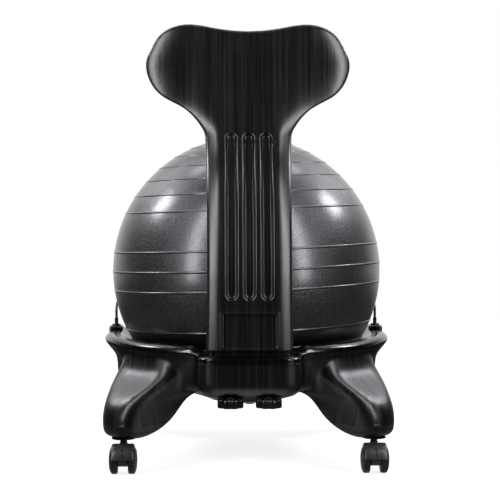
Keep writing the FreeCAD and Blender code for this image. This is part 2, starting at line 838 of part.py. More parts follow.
def add_knob(side, sign):
    across = "%d * knob_half_spacing" % sign
    back = "-bolt_line"
    knob_low = "knob_seat - knob_height"

    body = new_body("knob_" + side)
    sketch = new_sketch(body, "round", "XY")
    draw_circle(sketch, "knob_radius")
    pad(body, "disc", sketch, "knob_height")
    sketch = new_sketch(body, "scallop", "XY")
    draw_circle(sketch, "scallop_radius",
                "knob_radius + scallop_radius - scallop_bite")
    bite = pocket(body, "bite", sketch, reverse=True)
    pattern = body.newObject("PartDesign::PolarPattern", "bites_" + body.Label)
    pattern.Originals = [bite]
    pattern.Axis = ([f for f in body.Origin.OriginFeatures if f.Role == "Z_Axis"][0], [""])
    pattern.Angle = 360
    pattern.setExpression("Occurrences", bound("knob_scallops"))
    body.Tip = pattern
    sketch = new_sketch(body, "bore", "XY")
    draw_circle(sketch, "bolt_radius")
    pocket(body, "bolt_bore", sketch, reverse=True)
    sketch = new_sketch(body, "head", "XY")
    draw_circle(sketch, "bolt_head_radius")
    pocket(body, "head_bore", sketch, "bolt_head_height", reverse=True)
    place(body, across, back, knob_low)

    head = "bolt_head_radius"
    shank = "bolt_radius"
    tip = "back_bottom + insert_length - knob_seat + knob_height"
    bolt = turned("knob_bolt_" + side, [
        ("0", "0"), (head, "0"), (head, "bolt_head_height"),
        (shank, "bolt_head_height"), (shank, tip), ("0", tip)])
    place(bolt, across, back, knob_low)

    inner = "bolt_radius + bolt_gap"
    washer = turned("knob_washer_" + side, [
        (inner, "0"), ("washer_radius", "0"),
        ("washer_radius", "washer_thickness"), (inner, "washer_thickness")])
    place(washer, across, back, "knob_seat")

    inner = "bolt_radius + running_gap"
    insert = turned("back_insert_" + side, [
        (inner, "0"), ("insert_radius", "0"),
        ("insert_radius", "insert_length"), (inner, "insert_length")])
    place(insert, across, back, "back_bottom")


def add_grommet(side, sign):
    """The flanged grommet and its tall collar, where one end of the rod plugs in."""
    inner = "rod_radius + running_gap"
    low = "-(rod_depth + running_gap)"
    flange = "grommet_flange_thickness"
    top = "grommet_flange_thickness + ferrule_height"
    grommet = turned("rod_grommet_" + side, [
        (inner, low), ("grommet_radius", low), ("grommet_radius", "0"),
        ("grommet_flange_radius", "0"), ("grommet_flange_radius", flange),
        ("ferrule_radius", flange), ("ferrule_radius", top), (inner, top)])
    place(grommet, "%d * rod_end_across" % sign, "rod_end_forward",
          "rod_boss_top")


def add_caster(corner, right, forward):
    """One twin-wheel caster: its socket, stem, grip ring, hood, axle and two wheels."""
    across = "%d * caster_offset" % right
    ahead = "%d * caster_offset" % forward
    tip = "stem_tip"
    ring_top = "stem_tip - grip_ring_below_tip"
    ring_low = ring_top + " - grip_ring_height"
    groove = "stem_radius - ring_groove_depth"
    chamber = "stem_radius + grip_ring_rise"

    # the collar sits just above the hood, and the stem runs up through it
    collar_low = "hood_top + soft_gap"
    collar_top = collar_low + " + collar_height"
    stem = turned("caster_stem_" + corner, [
        ("0", "stem_bottom"), ("stem_radius", "stem_bottom"),
        ("stem_radius", collar_low), ("collar_radius", collar_low),
        ("collar_radius", collar_top), ("stem_radius", collar_top),
        ("stem_radius", ring_low), (groove, ring_low), (groove, ring_top),
        ("stem_radius", ring_top), ("stem_radius", tip), ("0", tip)])
    ring = turned("grip_ring_" + corner, [
        (groove, ring_low), (chamber, ring_low), (chamber, ring_top), (groove, ring_top)])

    bore = "stem_radius + running_gap"
    foot = "foot_bottom"
    flange_low = "foot_bottom - socket_flange_thickness"
    socket = turned("caster_socket_" + corner, [
        (bore, flange_low), ("socket_flange_radius", flange_low),
        ("socket_flange_radius", foot), ("socket_radius", foot),
        ("socket_radius", "socket_top"), ("0", "socket_top"), ("0", tip),
        (chamber, tip), (chamber, ring_low), (bore, ring_low)])

    trail = "-caster_trail"
    hood = new_body("caster_hood_" + corner)
    sketch = new_sketch(hood, "fender", "YZ")
    draw_circle(sketch, "hood_radius", trail, "wheel_radius")
    draw_circle(sketch, "hood_radius - hood_wall", trail, "wheel_radius")
    pad(hood, "fender_pad", sketch,
        "wheel_spacing + 2 * (wheel_width + hood_side_gap)", both_ways=True)
    sketch = new_sketch(hood, "open_side", "YZ")
    far = "2 * wheel_radius"
    draw_outline(sketch, [
        ("-" + far, "-" + far), (far, "-" + far), (far, "0.5 * wheel_radius"),
        ("-" + far, "1.2 * wheel_radius")])
    pocket(hood, "open_cut", sketch, both_ways=True)
    sketch = new_sketch(hood, "web", "YZ")
    reach = "wheel_radius - wheel_edge"
    draw_outline(sketch, [
        (trail + " - 5 * axle_radius / 2", "web_bottom"),
        (trail + " + 5 * axle_radius / 2", "web_bottom"),
        (trail + " + wheel_radius", "wheel_radius"),
        (trail + " + " + reach, "wheel_radius + 15"),
        (trail, "hood_top - hood_wall / 2"),
        (trail + " - " + reach, "wheel_radius + 15")])
    pad(hood, "web_pad", sketch, "web_width", both_ways=True)
    sketch = new_sketch(hood, "boss", "XY", "stem_bottom - 3")
    draw_circle(sketch, "boss_radius")
    pad(hood, "boss_pad", sketch, "hood_top - stem_bottom + 3")
    sketch = new_sketch(hood, "stem_bore", "XY", "hood_top")
    draw_circle(sketch, bore)
    pocket(hood, "stem_bore_cut", sketch, "hood_top - stem_bottom + soft_gap")
    sketch = new_sketch(hood, "axle_bore", "YZ")
    draw_circle(sketch, "axle_radius", trail, "wheel_radius")
    pocket(hood, "axle_bore_cut", sketch, both_ways=True)

    axle = new_body("caster_axle_" + corner)
    sketch = new_sketch(axle, "pin", "YZ")
    draw_circle(sketch, "axle_radius", trail, "wheel_radius")
    pad(axle, "pin_pad", sketch,
        "wheel_spacing + 2 * (wheel_width - hub_recess)", both_ways=True)

    wheels = []
    for side, start, face in (("left", "-(wheel_spacing / 2 + wheel_width)", -1),
                              ("right", "wheel_spacing / 2", 1)):
        wheel = new_body("wheel_%s_%s" % (corner, side))
        sketch = new_sketch(wheel, "tread", "YZ", start)
        draw_circle(sketch, "wheel_radius", trail, "wheel_radius")
        draw_circle(sketch, "axle_radius + running_gap", trail, "wheel_radius")
        pad(wheel, "tread_pad", sketch, "wheel_width")
        outer = face * size("wheel_spacing / 2 + wheel_width")
        radius = size("wheel_radius")
        round_edges(wheel, "tyre_edge", "wheel_edge",
                    lambda edge: abs(edge.BoundBox.XMin - outer) < 1e-4
                    and edge.BoundBox.XLength < 1e-4
                    and edge.BoundBox.ZLength > 1.9 * radius)
        face_offset = "%d * (wheel_spacing / 2 + wheel_width)" % face
        sketch = new_sketch(wheel, "hub", "YZ", face_offset)
        draw_circle(sketch, "hub_radius", trail, "wheel_radius")
        pocket(wheel, "hub_cut", sketch, "hub_recess", reverse=face < 0)
        wheels.append(wheel)

    for piece in [stem, ring, socket, hood, axle] + wheels:
        place(piece, across, ahead)


# Everything together

shell_piece("base_shell", base_shape())
shell_piece("backrest_shell", backrest_shape())
shell_piece("retaining_rod", rod_shape())
ball = shell_piece("ball_skin", ball_section().revolve(Vector(0, 0, 0), Vector(0, 0, 1), 360))
plug = shell_piece("ball_plug", ball_plug_shape())
for piece in (ball, plug):
    piece.Placement = ball_placement()
for side, sign in (("left", -1), ("right", 1)):
    add_knob(side, sign)
    add_grommet(side, sign)
for corner, right, forward in (("rear_left", -1, -1), ("rear_right", 1, -1),
                               ("front_left", -1, 1), ("front_right", 1, 1)):
    add_caster(corner, right, forward)
doc.recompute()

for thing in doc.Objects:
    if "Invalid" in thing.State or "Error" in thing.State:
        raise RuntimeError("failed: %s %s" % (thing.Name, thing.State))
for node in NODES:
    if node.Shape.isNull() or not node.Shape.isValid() or not node.Shape.Solids:
        raise RuntimeError("bad shape: " + node.Label)

os.makedirs("parts", exist_ok=True)
for node in NODES:
    node.Shape.exportStep(os.path.join("parts", node.Label + ".step"))
    bounds = node.Shape.BoundBox
    print("%-28s solids %d volume %10.0f  X %.1f %.1f  Y %.1f %.1f  Z %.1f %.1f" % (
        node.Label, len(node.Shape.Solids), node.Shape.Volume, bounds.XMin, bounds.XMax,
        bounds.YMin, bounds.YMax, bounds.ZMin, bounds.ZMax))
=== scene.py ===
# %% [markdown]
# # A balance ball chair, dressed in Blender
# The chair is an air-filled ball that sits in a blow-moulded ring. The ring has four legs on
# twin-wheel casters, a block that holds a T-shaped backrest, and a thin rod that keeps the ball
# in. The solid model gives every place and size, and this lesson adds the soft edges, the
# moulded forms and the finishes. Everything is in metres, Z is up and the sitter faces +Y.

# %% Load the frame
import math
import bmesh
import bpy
import numpy as np
from mathutils import Matrix, Vector


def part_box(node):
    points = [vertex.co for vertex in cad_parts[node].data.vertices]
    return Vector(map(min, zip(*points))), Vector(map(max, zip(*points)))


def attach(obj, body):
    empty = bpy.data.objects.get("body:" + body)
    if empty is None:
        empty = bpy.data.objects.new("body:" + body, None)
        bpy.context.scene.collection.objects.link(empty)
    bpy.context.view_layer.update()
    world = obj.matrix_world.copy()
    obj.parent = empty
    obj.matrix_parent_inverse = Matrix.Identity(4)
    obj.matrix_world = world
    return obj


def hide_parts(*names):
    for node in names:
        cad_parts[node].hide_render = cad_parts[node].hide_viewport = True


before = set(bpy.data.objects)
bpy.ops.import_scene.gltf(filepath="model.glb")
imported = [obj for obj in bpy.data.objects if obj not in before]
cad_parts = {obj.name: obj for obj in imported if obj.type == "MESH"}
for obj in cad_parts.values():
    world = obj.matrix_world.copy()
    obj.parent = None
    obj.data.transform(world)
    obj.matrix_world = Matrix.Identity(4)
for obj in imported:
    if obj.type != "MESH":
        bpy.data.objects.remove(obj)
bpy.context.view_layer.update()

# %% [markdown]
# ## Camera
# The photograph is taken from behind, from far away with a long lens, a little above the rim,
# so upright lines stay nearly upright. The camera is given that spot directly, because
# Blender's framing helpers would choose a spot of their own.

# %% Camera
LENS = 104.6
CAMERA_PLACE = (-0.057, -2.842, 0.532)
LOOKS_DOWN, LOOKS_ASIDE = 2.84, -1.29  # degrees
camera_data = bpy.data.cameras.new("camera")
camera_data.lens = LENS
camera = bpy.data.objects.new("camera", camera_data)
camera.location = CAMERA_PLACE
camera.rotation_euler = (math.radians(90 - LOOKS_DOWN), 0, math.radians(LOOKS_ASIDE))
bpy.context.collection.objects.link(camera)
bpy.context.scene.camera = camera
print("camera", CAMERA_PLACE, "lens", LENS)

# %% [markdown]
# ## Helpers for finishes
# A moulded plastic is never one flat colour. Its shine changes over a hand's breadth where the
# mould was warmer, and its skin has a fine grain. Such a finish is made from two noises: a slow
# one for the shine and a fast one for the grain. Both read Object coordinates, because those
# need no unwrapping and are the same at every pose. Each helper here adds one node and gives
# back its output, so that a finish reads in one direction, from texture to shader.

# %% Start a finish, and fill an input
def new_finish(name):
    """A new material, its tree, its shader and its Object coordinates."""
    material = bpy.data.materials.new(name)
    material.use_nodes = True
    tree = material.node_tree
    place = tree.nodes.new("ShaderNodeTexCoord").outputs["Object"]
    return material, tree, tree.nodes["Principled BSDF"], place


def feed(tree, entry, value):
    """Links an output to an input, or sets the input to a plain value."""
    if isinstance(value, bpy.types.NodeSocket):
        tree.links.new(value, entry)
    else:
        entry.default_value = value

# %% Coordinates and noise
def stretched(tree, place, scale):
    """Coordinates with a scale for each axis."""
    mapping = tree.nodes.new("ShaderNodeMapping")
    mapping.inputs["Scale"].default_value = scale
    tree.links.new(place, mapping.inputs["Vector"])
    return mapping.outputs["Vector"]


def coordinate(tree, place, axis):
    split = tree.nodes.new("ShaderNodeSeparateXYZ")
    tree.links.new(place, split.inputs["Vector"])
    return split.outputs[axis]


def noise(tree, place, scale, detail=3.0):
    node = tree.nodes.new("ShaderNodeTexNoise")
    node.inputs["Scale"].default_value = scale
    node.inputs["Detail"].default_value = detail
    tree.links.new(place, node.inputs["Vector"])
    return node.outputs["Fac"]

# %% Ramps
def as_colour(value):
    """A single number stands for a grey."""
    return (value, value, value, 1) if isinstance(value, float) else (*value, 1)


def ramp(tree, value, low, high, first_colour, last_colour, between=(), ease=False):
    """The colour for a value, from the first colour at low to the last colour at high."""
    node = tree.nodes.new("ShaderNodeValToRGB")
    first, last = node.color_ramp.elements
    first.position, last.position = low, high
    first.color, last.color = as_colour(first_colour), as_colour(last_colour)
    for position, colour in between:
        node.color_ramp.elements.new(position).color = as_colour(colour)
    if ease:
        node.color_ramp.interpolation = "EASE"
    tree.links.new(value, node.inputs["Fac"])
    return node.outputs["Color"]

# %% Sums and relief
def maths(tree, operation, *values, kind="Math"):
    """Reckons with outputs and numbers, or with whole vectors where kind is VectorMath."""
    node = tree.nodes.new("ShaderNode" + kind)
    node.operation = operation
    for entry, value in zip(node.inputs, values):
        feed(tree, entry, value)
    vector = kind == "VectorMath" and operation != "LENGTH"
    return node.outputs["Vector" if vector else "Value"]


def bump(tree, shader, height, distance, before=None):
    """Relief for the shader, on top of an earlier relief where one is given."""
    node = tree.nodes.new("ShaderNodeBump")
    node.inputs["Distance"].default_value = distance
    tree.links.new(height, node.inputs["Height"])
    if before is not None:
        tree.links.new(before, node.inputs["Normal"])
    tree.links.new(node.outputs["Normal"], shader.inputs["Normal"])
    return node.outputs["Normal"]

# %% A moulded plastic
CLOUD_SCALE = 9.0


def plastic(name, dark, light, shine, grain_scale, grain_height):
    """dark and light are the skin's two colours, shine its lowest and highest roughness."""
    material, tree, shader, place = new_finish(name)
    cloud = noise(tree, place, CLOUD_SCALE)
    feed(tree, shader.inputs["Base Color"], ramp(tree, cloud, 0.35, 0.7, dark, light))
    feed(tree, shader.inputs["Roughness"], ramp(tree, cloud, 0.3, 0.75, *shine))
    bump(tree, shader, noise(tree, place, grain_scale), grain_height)
    return material


nylon_black = plastic("nylon_black", 0.0008, 0.0025, (0.22, 0.3), 2200.0, 0.00003)
nylon_hood = plastic("nylon_hood", (0.014, 0.014, 0.0145), (0.026, 0.026, 0.027),
                     (0.28, 0.38), 2200.0, 0.00004)
tread_black = plastic("tread_black", 0.003, 0.007, (0.28, 0.38), 1600.0, 0.00005)
coated_black = plastic("coated_black", (0.004, 0.004, 0.0045), (0.009, 0.009, 0.0095),
                       (0.24, 0.36), 2600.0, 0.00002)
print("plastics:", nylon_black.name, nylon_hood.name, tread_black.name, coated_black.name)

# %% [markdown]
# A blow-moulded skin is drawn while it is soft, so it also carries fine streaks that run the
# way it was stretched: straight up the backrest, and from the rim down the wall and the legs
# of the base. Noise on a coordinate that doesn't change along the streak gives them, in the
# colour, the shine and the relief at once. The base's rim is rolled tight against the mould,
# so there the streaks lose their relief and the skin is smoother. A thin raised line runs
# round the feet, where the two halves of the mould met.

# %% Streaks of the two skins
# scales of the wide and the fine streaks, relief in metres, the range of each value that the
# streaks or the slow patches change, and how much a streak adds to the roughness
STREAKS_OUTWARD = {"wide": 40.0, "fine": 330.0, "relief": 0.0002, "colour": (0.0006, 0.0018),
                   "glint": (0.38, 0.6), "rough": (0.19, 0.25), "matt": 0.5}
STREAKS_UPRIGHT = {"wide": 170.0, "fine": 620.0, "relief": 0.00003, "colour": (0.0022, 0.0085),
                   "glint": (0.43, 0.57), "rough": (0.2, 0.27), "matt": 0.3}
RIM_POLISH = 0.55
RIM_LOW, STREAKS_END, POLISH_FULL = 0.2, 0.211, 0.214
SEAM_LEVEL, SEAM_HEIGHT = 0.087, 0.0005


def drawn_out(tree, place, outward):
    """Coordinates that stay the same along a streak, outward from the axis or upright."""
    if not outward:
        return stretched(tree, place, (1, 0.02, 0.012))
    level = maths(tree, "MULTIPLY", place, (1, 1, 0), kind="VectorMath")
    return maths(tree, "NORMALIZE", level, kind="VectorMath")

# %% Blown skin
def blown_skin(name, look, outward):
    """look is one of the two tables above, and outward is True for the base."""
    material, tree, shader, place = new_finish(name)
    drawn = drawn_out(tree, place, outward)
    streak = maths(tree, "MULTIPLY", noise(tree, drawn, look["wide"], 2.0),
                   noise(tree, drawn, look["fine"], 2.0))
    feed(tree, shader.inputs["Base Color"], ramp(tree, streak, 0.16, 0.42, *look["colour"]))
    feed(tree, shader.inputs["Specular IOR Level"],
         ramp(tree, streak, 0.14, 0.38, *look["glint"]))
    patches = ramp(tree, noise(tree, place, 8.0), 0.3, 0.75, *look["rough"])
    rough = maths(tree, "MULTIPLY_ADD", streak, look["matt"], patches)
    raised = streak
    if outward:
        level = coordinate(tree, place, "Z")
        raised = maths(tree, "MULTIPLY", streak,
                       ramp(tree, level, RIM_LOW, STREAKS_END, 1.0, 0.0))
        rough = maths(tree, "MULTIPLY", rough,
                      ramp(tree, level, RIM_LOW, POLISH_FULL, 1.0, RIM_POLISH))
    feed(tree, shader.inputs["Roughness"], rough)
    grain = bump(tree, shader, noise(tree, place, 1500.0), 0.00002)
    relief = bump(tree, shader, raised, look["relief"], grain)
    if outward:
        off_seam = maths(tree, "ABSOLUTE", maths(tree, "SUBTRACT", level, SEAM_LEVEL))
        seam = ramp(tree, off_seam, 0.0003, 0.0016, 1.0, 0.0)
        bump(tree, shader, seam, SEAM_HEIGHT, relief)
    return material


base_black = blown_skin("base_black", STREAKS_OUTWARD, True)
back_black = blown_skin("back_black", STREAKS_UPRIGHT, False)
print("skins:", base_black.name, back_black.name)

# %% [markdown]
# The ball is a thick satin vinyl. Close up it is charcoal with paler and darker specks, which
# are fine dimples in the skin. A cellular texture times a noise gives the specks, and the same
# value raises and lowers the surface, so that colour and relief agree. Low down, inside the
# ring, the skin's colour is darkened as painted shade, where the ball lies in the ring's shadow.

# %% Vinyl of the ball
DIMPLE_SCALE, MOTTLE_SCALE, DIMPLE_HEIGHT = 430.0, 380.0, 0.0009
# painted shade: the heights between which the ball's colour darkens towards the bottom, and how
# dark it gets
PAINTED_SHADE_LOW, PAINTED_SHADE_HIGH, PAINTED_SHADE_FACTOR = 0.235, 0.262, 0.12


def ball_vinyl():
    material, tree, shader, place = new_finish("ball_vinyl")
    for entry, value in (("Metallic", 0.55), ("Coat Weight", 0.7), ("Coat Roughness", 0.23)):
        shader.inputs[entry].default_value = value
    cells = tree.nodes.new("ShaderNodeTexVoronoi")
    cells.inputs["Scale"].default_value = DIMPLE_SCALE
    tree.links.new(place, cells.inputs["Vector"])
    specks = maths(tree, "MULTIPLY", cells.outputs["Distance"],
                   noise(tree, place, MOTTLE_SCALE))
    charcoal = ramp(tree, specks, 0.08, 0.42, (0.001, 0.001, 0.0011), (0.045, 0.045, 0.0475))
    # painted shade: darkens the colour towards the bottom of the ball, where the ring shades it
    painted_shade = ramp(tree, coordinate(tree, place, "Z"), PAINTED_SHADE_LOW, PAINTED_SHADE_HIGH, PAINTED_SHADE_FACTOR,
                  1.0)
    skin = maths(tree, "MULTIPLY", charcoal, painted_shade, kind="VectorMath")
    feed(tree, shader.inputs["Base Color"], skin)
    slow = noise(tree, place, 7.0)
    feed(tree, shader.inputs["Roughness"], ramp(tree, slow, 0.3, 0.7, 0.36, 0.42))
    bump(tree, shader, specks, DIMPLE_HEIGHT)
    return material


vinyl = ball_vinyl()
plug_vinyl = plastic("plug_vinyl", (0.03, 0.03, 0.031), (0.06, 0.06, 0.062),
                     (0.45, 0.6), 900.0, 0.00008)
print("vinyl:", vinyl.name, plug_vinyl.name)

# %% [markdown]
# The small metal pieces are plated steel and brass. Turned metal shows fine rings and plating
# shows cloudy patches, so the patches give the colour, and noise that is drawn out across the
# axis gives the roughness.

# %% Metals
ROUND_THE_AXIS = (0.1, 0.1, 4)


def metal(name, colour, shine):
    material, tree, shader, place = new_finish(name)
    shader.inputs["Metallic"].default_value = 1.0
    patches = noise(tree, place, 60.0, 4.0)
    dull = [0.75 * share for share in colour]
    feed(tree, shader.inputs["Base Color"], ramp(tree, patches, 0.3, 0.7, dull, colour))
    rings = noise(tree, stretched(tree, place, ROUND_THE_AXIS), 900.0)
    feed(tree, shader.inputs["Roughness"], ramp(tree, rings, 0.2, 0.8, *shine))
    bump(tree, shader, rings, 0.00002)
    return material


black_zinc = metal("black_zinc", (0.03, 0.03, 0.032), (0.22, 0.36))
zinc = metal("zinc_plate", (0.62, 0.62, 0.6), (0.25, 0.42))
brass = metal("turned_brass", (0.72, 0.55, 0.25), (0.22, 0.36))
print("metals:", black_zinc.name, zinc.name, brass.name)

# %% [markdown]
# ## Finishes for the solid pieces
# The rod, its grommets, the stems, sockets, axles, bolts, washers and inserts already have
# their real shape, so they only get a finish. The solids that are replaced further on get
# theirs as well, so that no solid is left bare.

# %% Finish the solid pieces
SOLID_FINISHES = {
    "retaining_rod": coated_black, "ball_plug": plug_vinyl, "rod_grommet": nylon_black,
    "caster_socket": nylon_black, "caster_stem": black_zinc, "grip_ring": zinc,
    "caster_axle": zinc, "knob_bolt": zinc, "knob_washer": black_zinc, "back_insert": brass,
    "base_shell": base_black, "backrest_shell": back_black, "ball_skin": vinyl,
    "caster_hood": nylon_hood, "wheel": tread_black, "knob_left": nylon_black,
    "knob_right": nylon_black,
}
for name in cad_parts:
    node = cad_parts[name]
    start = max((key for key in SOLID_FINISHES if name.startswith(key)), key=len)
    if not node.material_slots:
        node.data.materials.append(SOLID_FINISHES[start])
    for holder in node.material_slots:
        holder.material = SOLID_FINISHES[start]
print("nodes with a finish:", len(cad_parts))

# %% [markdown]
# ## Helpers for new pieces
# Every new piece is made in a bmesh, becomes one object at the origin, is shaded smooth
# except at its sharp edges, and rides on the body that carries it. Forms are written down in
# millimetres, as they are measured, and MM turns them into metres.

# %% Turn a bmesh into a piece
MM = 0.001


def make_piece(work, name, body, material, nodes, sharp=38.0):
    bmesh.ops.remove_doubles(work, verts=work.verts, dist=1e-6)
    bmesh.ops.recalc_face_normals(work, faces=work.faces)
    for face in work.faces:
        face.smooth = True
    for edge in work.edges:
        if len(edge.link_faces) == 2:
            edge.smooth = edge.calc_face_angle() < math.radians(sharp)
    mesh = bpy.data.meshes.new(name)
    work.to_mesh(mesh)
    work.free()
    piece = bpy.data.objects.new(name, mesh)
    bpy.context.collection.objects.link(piece)
    piece.data.materials.append(material)
    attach(piece, body)
    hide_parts(*nodes)
    print("%-24s %6d faces" % (name, len(mesh.polygons)))
    return piece

# %% Helpers for shaping
def smooth_step(value, low, high):
    share = np.clip((np.asarray(value, float) - low) / (high - low), 0.0, 1.0)
    return share * share * (3 - 2 * share)


def chain(work, points, closed=False):
    """A line of edges through points, as a section to spin."""
    verts = [work.verts.new(point) for point in points]
    for one, two in zip(verts, verts[1:] + verts[:1] if closed else verts[1:]):
        work.edges.new((one, two))


def spin(work, axis, angle, steps, merge=False):
    bmesh.ops.spin(work, geom=list(work.verts) + list(work.edges), cent=(0, 0, 0), axis=axis,
                   dvec=(0, 0, 0), angle=angle, steps=steps, use_merge=merge)


def bevel(work, edges, offset, segments):
    bmesh.ops.bevel(work, geom=edges, offset=offset, offset_type="OFFSET", segments=segments,
                    profile=0.5, affect="EDGES", material=-1)


def smooth(work, verts, turns, axes="XYZ"):
    """Draws points half way to the middle of their neighbours, along the given axes."""
    for _ in range(turns):
        bmesh.ops.smooth_vert(work, verts=verts, factor=0.5, use_axis_x="X" in axes,
                              use_axis_y="Y" in axes, use_axis_z="Z" in axes)


def join_into(target, source):
    """Adds the mesh of one bmesh to another."""
    loose = bpy.data.meshes.new("joined")
    source.to_mesh(loose)
    source.free()
    target.from_mesh(loose)
    bpy.data.meshes.remove(loose)

# %% [markdown]
# ## The base moulding
# The base is one hollow blow-moulding. Its rim is a rolled bead, the wall under the rim draws
# in, and at each leg it sweeps out again into a broad saddle between two soft creases, down to
# a rounded foot. It could be joined from a ring and four legs, but then each joint would show
# in the reflections. Here the ring's section is spun once round, and then every point is
# drawn to the real surface along its own ray, so the mesh runs through ring, legs and block
# without a seam.
#
# A leg is described by its plan at some heights: where its outer face stands, how wide it is
# there, where its inner end stands and how wide it is there, and how round the corner is.

# %% Plans of a leg
# height, outer face, half width there, inner end, half width there, corner radius, crown
LEG_PLANS = np.array([
    (63, 336, 25, 298, 30, 17, 2), (65, 342, 33, 292, 34, 24, 3), (68, 345, 38, 286, 38, 29, 4),
    (72, 346, 40.5, 278, 42, 31, 5), (77, 346.5, 41.5, 269, 45.5, 32, 5.5),
    (82, 346.5, 42, 261, 47, 32, 5.5), (90, 346.5, 42.3, 250, 49.5, 32, 5.5),
    (98, 346, 42.8, 242, 51.5, 32, 5.5), (106, 344.8, 43.4, 236, 53, 32, 5.3),
    (113, 343, 44, 231, 54.5, 32, 5), (120, 340.5, 45.3, 225, 55.5, 32, 4),
    (127, 337.5, 46.8, 219, 56.5, 33, 2), (135, 332, 50.5, 204, 58.5, 34, 0),
    (145, 322, 56.5, 178, 67, 34, -2), (153, 313, 61.5, 178, 67.5, 34, -3.5),
    (162, 302, 67, 178, 68, 35, -4), (171, 291.5, 71.5, 178, 68, 36, -4),
    (180, 283, 74, 178, 68, 38, -3.5), (190, 276.5, 75, 178, 68, 42, -1),
    (201, 271, 75, 178, 68, 46, 2.5), (212, 267, 70, 178, 64, 44, 6),
    (217, 262, 60, 178, 56, 30, 9), (223, 255, 55, 178, 50, 30, 9),
], float)
HEIGHTS = LEG_PLANS[:, 0]
FOOT_ROWS = 13  # the rows below the ring
LEG_HOLLOW = 3.0  # how far a leg's side is drawn in between its ends


def plan_at(height):
    """The six measures of a leg's plan at a height."""
    return [np.interp(height, HEIGHTS, column) for column in LEG_PLANS.T[1:]]

# %% Reach of a leg
def leg_reach_by_angle(height):
    """Angles from the leg's axis, and how far the leg reaches at each, at a height."""
    face, half, inner, inner_half, corner, crown = plan_at(height)
    along = Vector((inner - face, inner_half - half)).normalized()
    start, tip = Vector((face, half - corner)), Vector((face, half))
    end = tip + along * corner
    points = [(face, across) for across in np.linspace(0, start.y, 12)]
    for share in np.linspace(0, 1, 14)[1:]:
        bend = (1 - share) ** 2 * start + 2 * share * (1 - share) * tip + share ** 2 * end
        points.append(tuple(bend))
    points = [(x + crown * max(1 - (y / half) ** 2, 0.0), y) for x, y in points]
    hollow = LEG_HOLLOW * float(smooth_step(height, 75, 110))
    for share in np.linspace(0, 1, 14)[1:]:
        spot = end.lerp(Vector((inner, inner_half)), share)
        points.append((spot.x, spot.y - hollow * 4 * share * (1 - share)))
    outs, asides = np.array(points).T
    angles = np.degrees(np.arctan2(asides, outs))
    return np.maximum.accumulate(angles), np.hypot(outs, asides)


print("leg at 100 mm up reaches", round(leg_reach_by_angle(100)[1][0]), "mm")

# %% [markdown]
# The ring under the rim has one radius at each height. The block's plan is a box with round
# corners, drawn in near its top and bottom edges. Where two of these meet, a soft maximum
# gives the fillet between them. Beside a leg the wall swells a little, and from the ridge of the
# leg a skirt runs out along the wall, so that the leg grows out of the ring without a corner.

# %% Ring and block
# height and radius of the ring, and how much it swells beside a leg
RING_RADII = [
    (135, 150), (140, 205), (145, 240), (146, 243.5), (148, 246.4), (151, 249), (155, 251),
    (160, 252), (172, 252), (184, 253.5), (192, 256.5), (199, 261), (206, 267), (212, 271.5),
    (216, 274.7), (219.5, 276), (222.5, 275.5), (225.2, 274), (227.6, 271.6), (229.5, 268.5),
    (230.6, 264.9), (231, 261)]
FLARES = [(160, 0), (170, 2), (180, 6), (190, 10.5), (201, 10.5), (206, 6.8), (212, 3.2),
          (216, 1), (219.5, 0)]
BLOCK = {"half": 93.5, "back": 306.0, "corner": 35.0, "low": 143.0, "high": 228.0,
         "low_radius": 24.0, "high_radius": 8.0}


def block_inset(height):
    """How far the block is drawn in at a height, by its rounded top and bottom edges."""
    inset = 0.0
    for edge, radius in ((height - BLOCK["low"], BLOCK["low_radius"]),
                         (BLOCK["high"] - height, BLOCK["high_radius"])):
        if edge < radius:
            inset += radius - math.sqrt(max(radius ** 2 - (radius - edge) ** 2, 0.0))
    return inset

# %% Reach of the block
BLOCK_SIDE = 60  # degrees from straight back, past which no ray meets the block


def block_reach(angle, height):
    """How far the block reaches at an angle in degrees from straight back."""
    if angle > BLOCK_SIDE or not BLOCK["low"] - 1e-9 <= height <= BLOCK["high"] + 1e-9:
        return 0.0
    inset = block_inset(height)
    half, back, corner = (BLOCK[key] - inset for key in ("half", "back", "corner"))
    turn = math.radians(max(angle, 1e-3))
    across, away = math.sin(turn), math.cos(turn)
    reach = back / away
    if reach * across > half - corner:
        middle = Vector((half - corner, back - corner))
        along = middle.x * across + middle.y * away
        rest = along ** 2 - middle.length_squared + corner ** 2
        reach = along + math.sqrt(rest) if rest > 0 else 0.0
        if rest <= 0 or reach * away < back - corner:
            reach = half / across
    return reach


def soft_max(one, other, width):
    closeness = np.maximum(1 - np.abs(one - other) / width, 0.0)
    return np.maximum(one, other) + width / 4 * closeness ** 2


print("block corner at", round(block_reach(16.0, 180.0)), "mm")

# %% [markdown]
# For one ray from the chair's axis, the section is a closed line: up the bowl that holds the
# ball, over the rim, down the outside to the lowest edge there, and back along the underside.
# Each part is walked in even steps, so that neighbouring sections fit each other. The block is
# lower than the rim, so behind the backrest the top of the section is drawn down.

# %% A leg on a grid of heights and angles
FOOT_LOW, RING_LOW, RIM_TOP, RIM_RADIUS = 63, 145.0, 231.0, 261.0
GRID_HEIGHTS = np.arange(FOOT_LOW, 231.01, 0.5)
ANGLE_STEP = 0.1
GRID_ANGLES = np.arange(0, 24.01, ANGLE_STEP)
LEG_GRID = np.array([np.interp(GRID_ANGLES, *leg_reach_by_angle(min(height, HEIGHTS[-1])))
                     for height in GRID_HEIGHTS])
RIDGES = np.argmax(LEG_GRID, axis=1)
EDGE_HEIGHTS = np.arange(FOOT_LOW, 145.01, 1.0)
EDGE_ANGLES = np.array([math.degrees(math.atan2(plan_at(height)[3], plan_at(height)[2]))
                        for height in EDGE_HEIGHTS])
SKIRTS = [(141, 0.5), (150, 6), (165, 10), (190, 12), (212, 13)]  # height, degrees


def on_grid(pairs):
    """A value at each of the grid's heights."""
    return np.interp(GRID_HEIGHTS, *np.transpose(pairs))


print("grid of a leg:", LEG_GRID.shape)

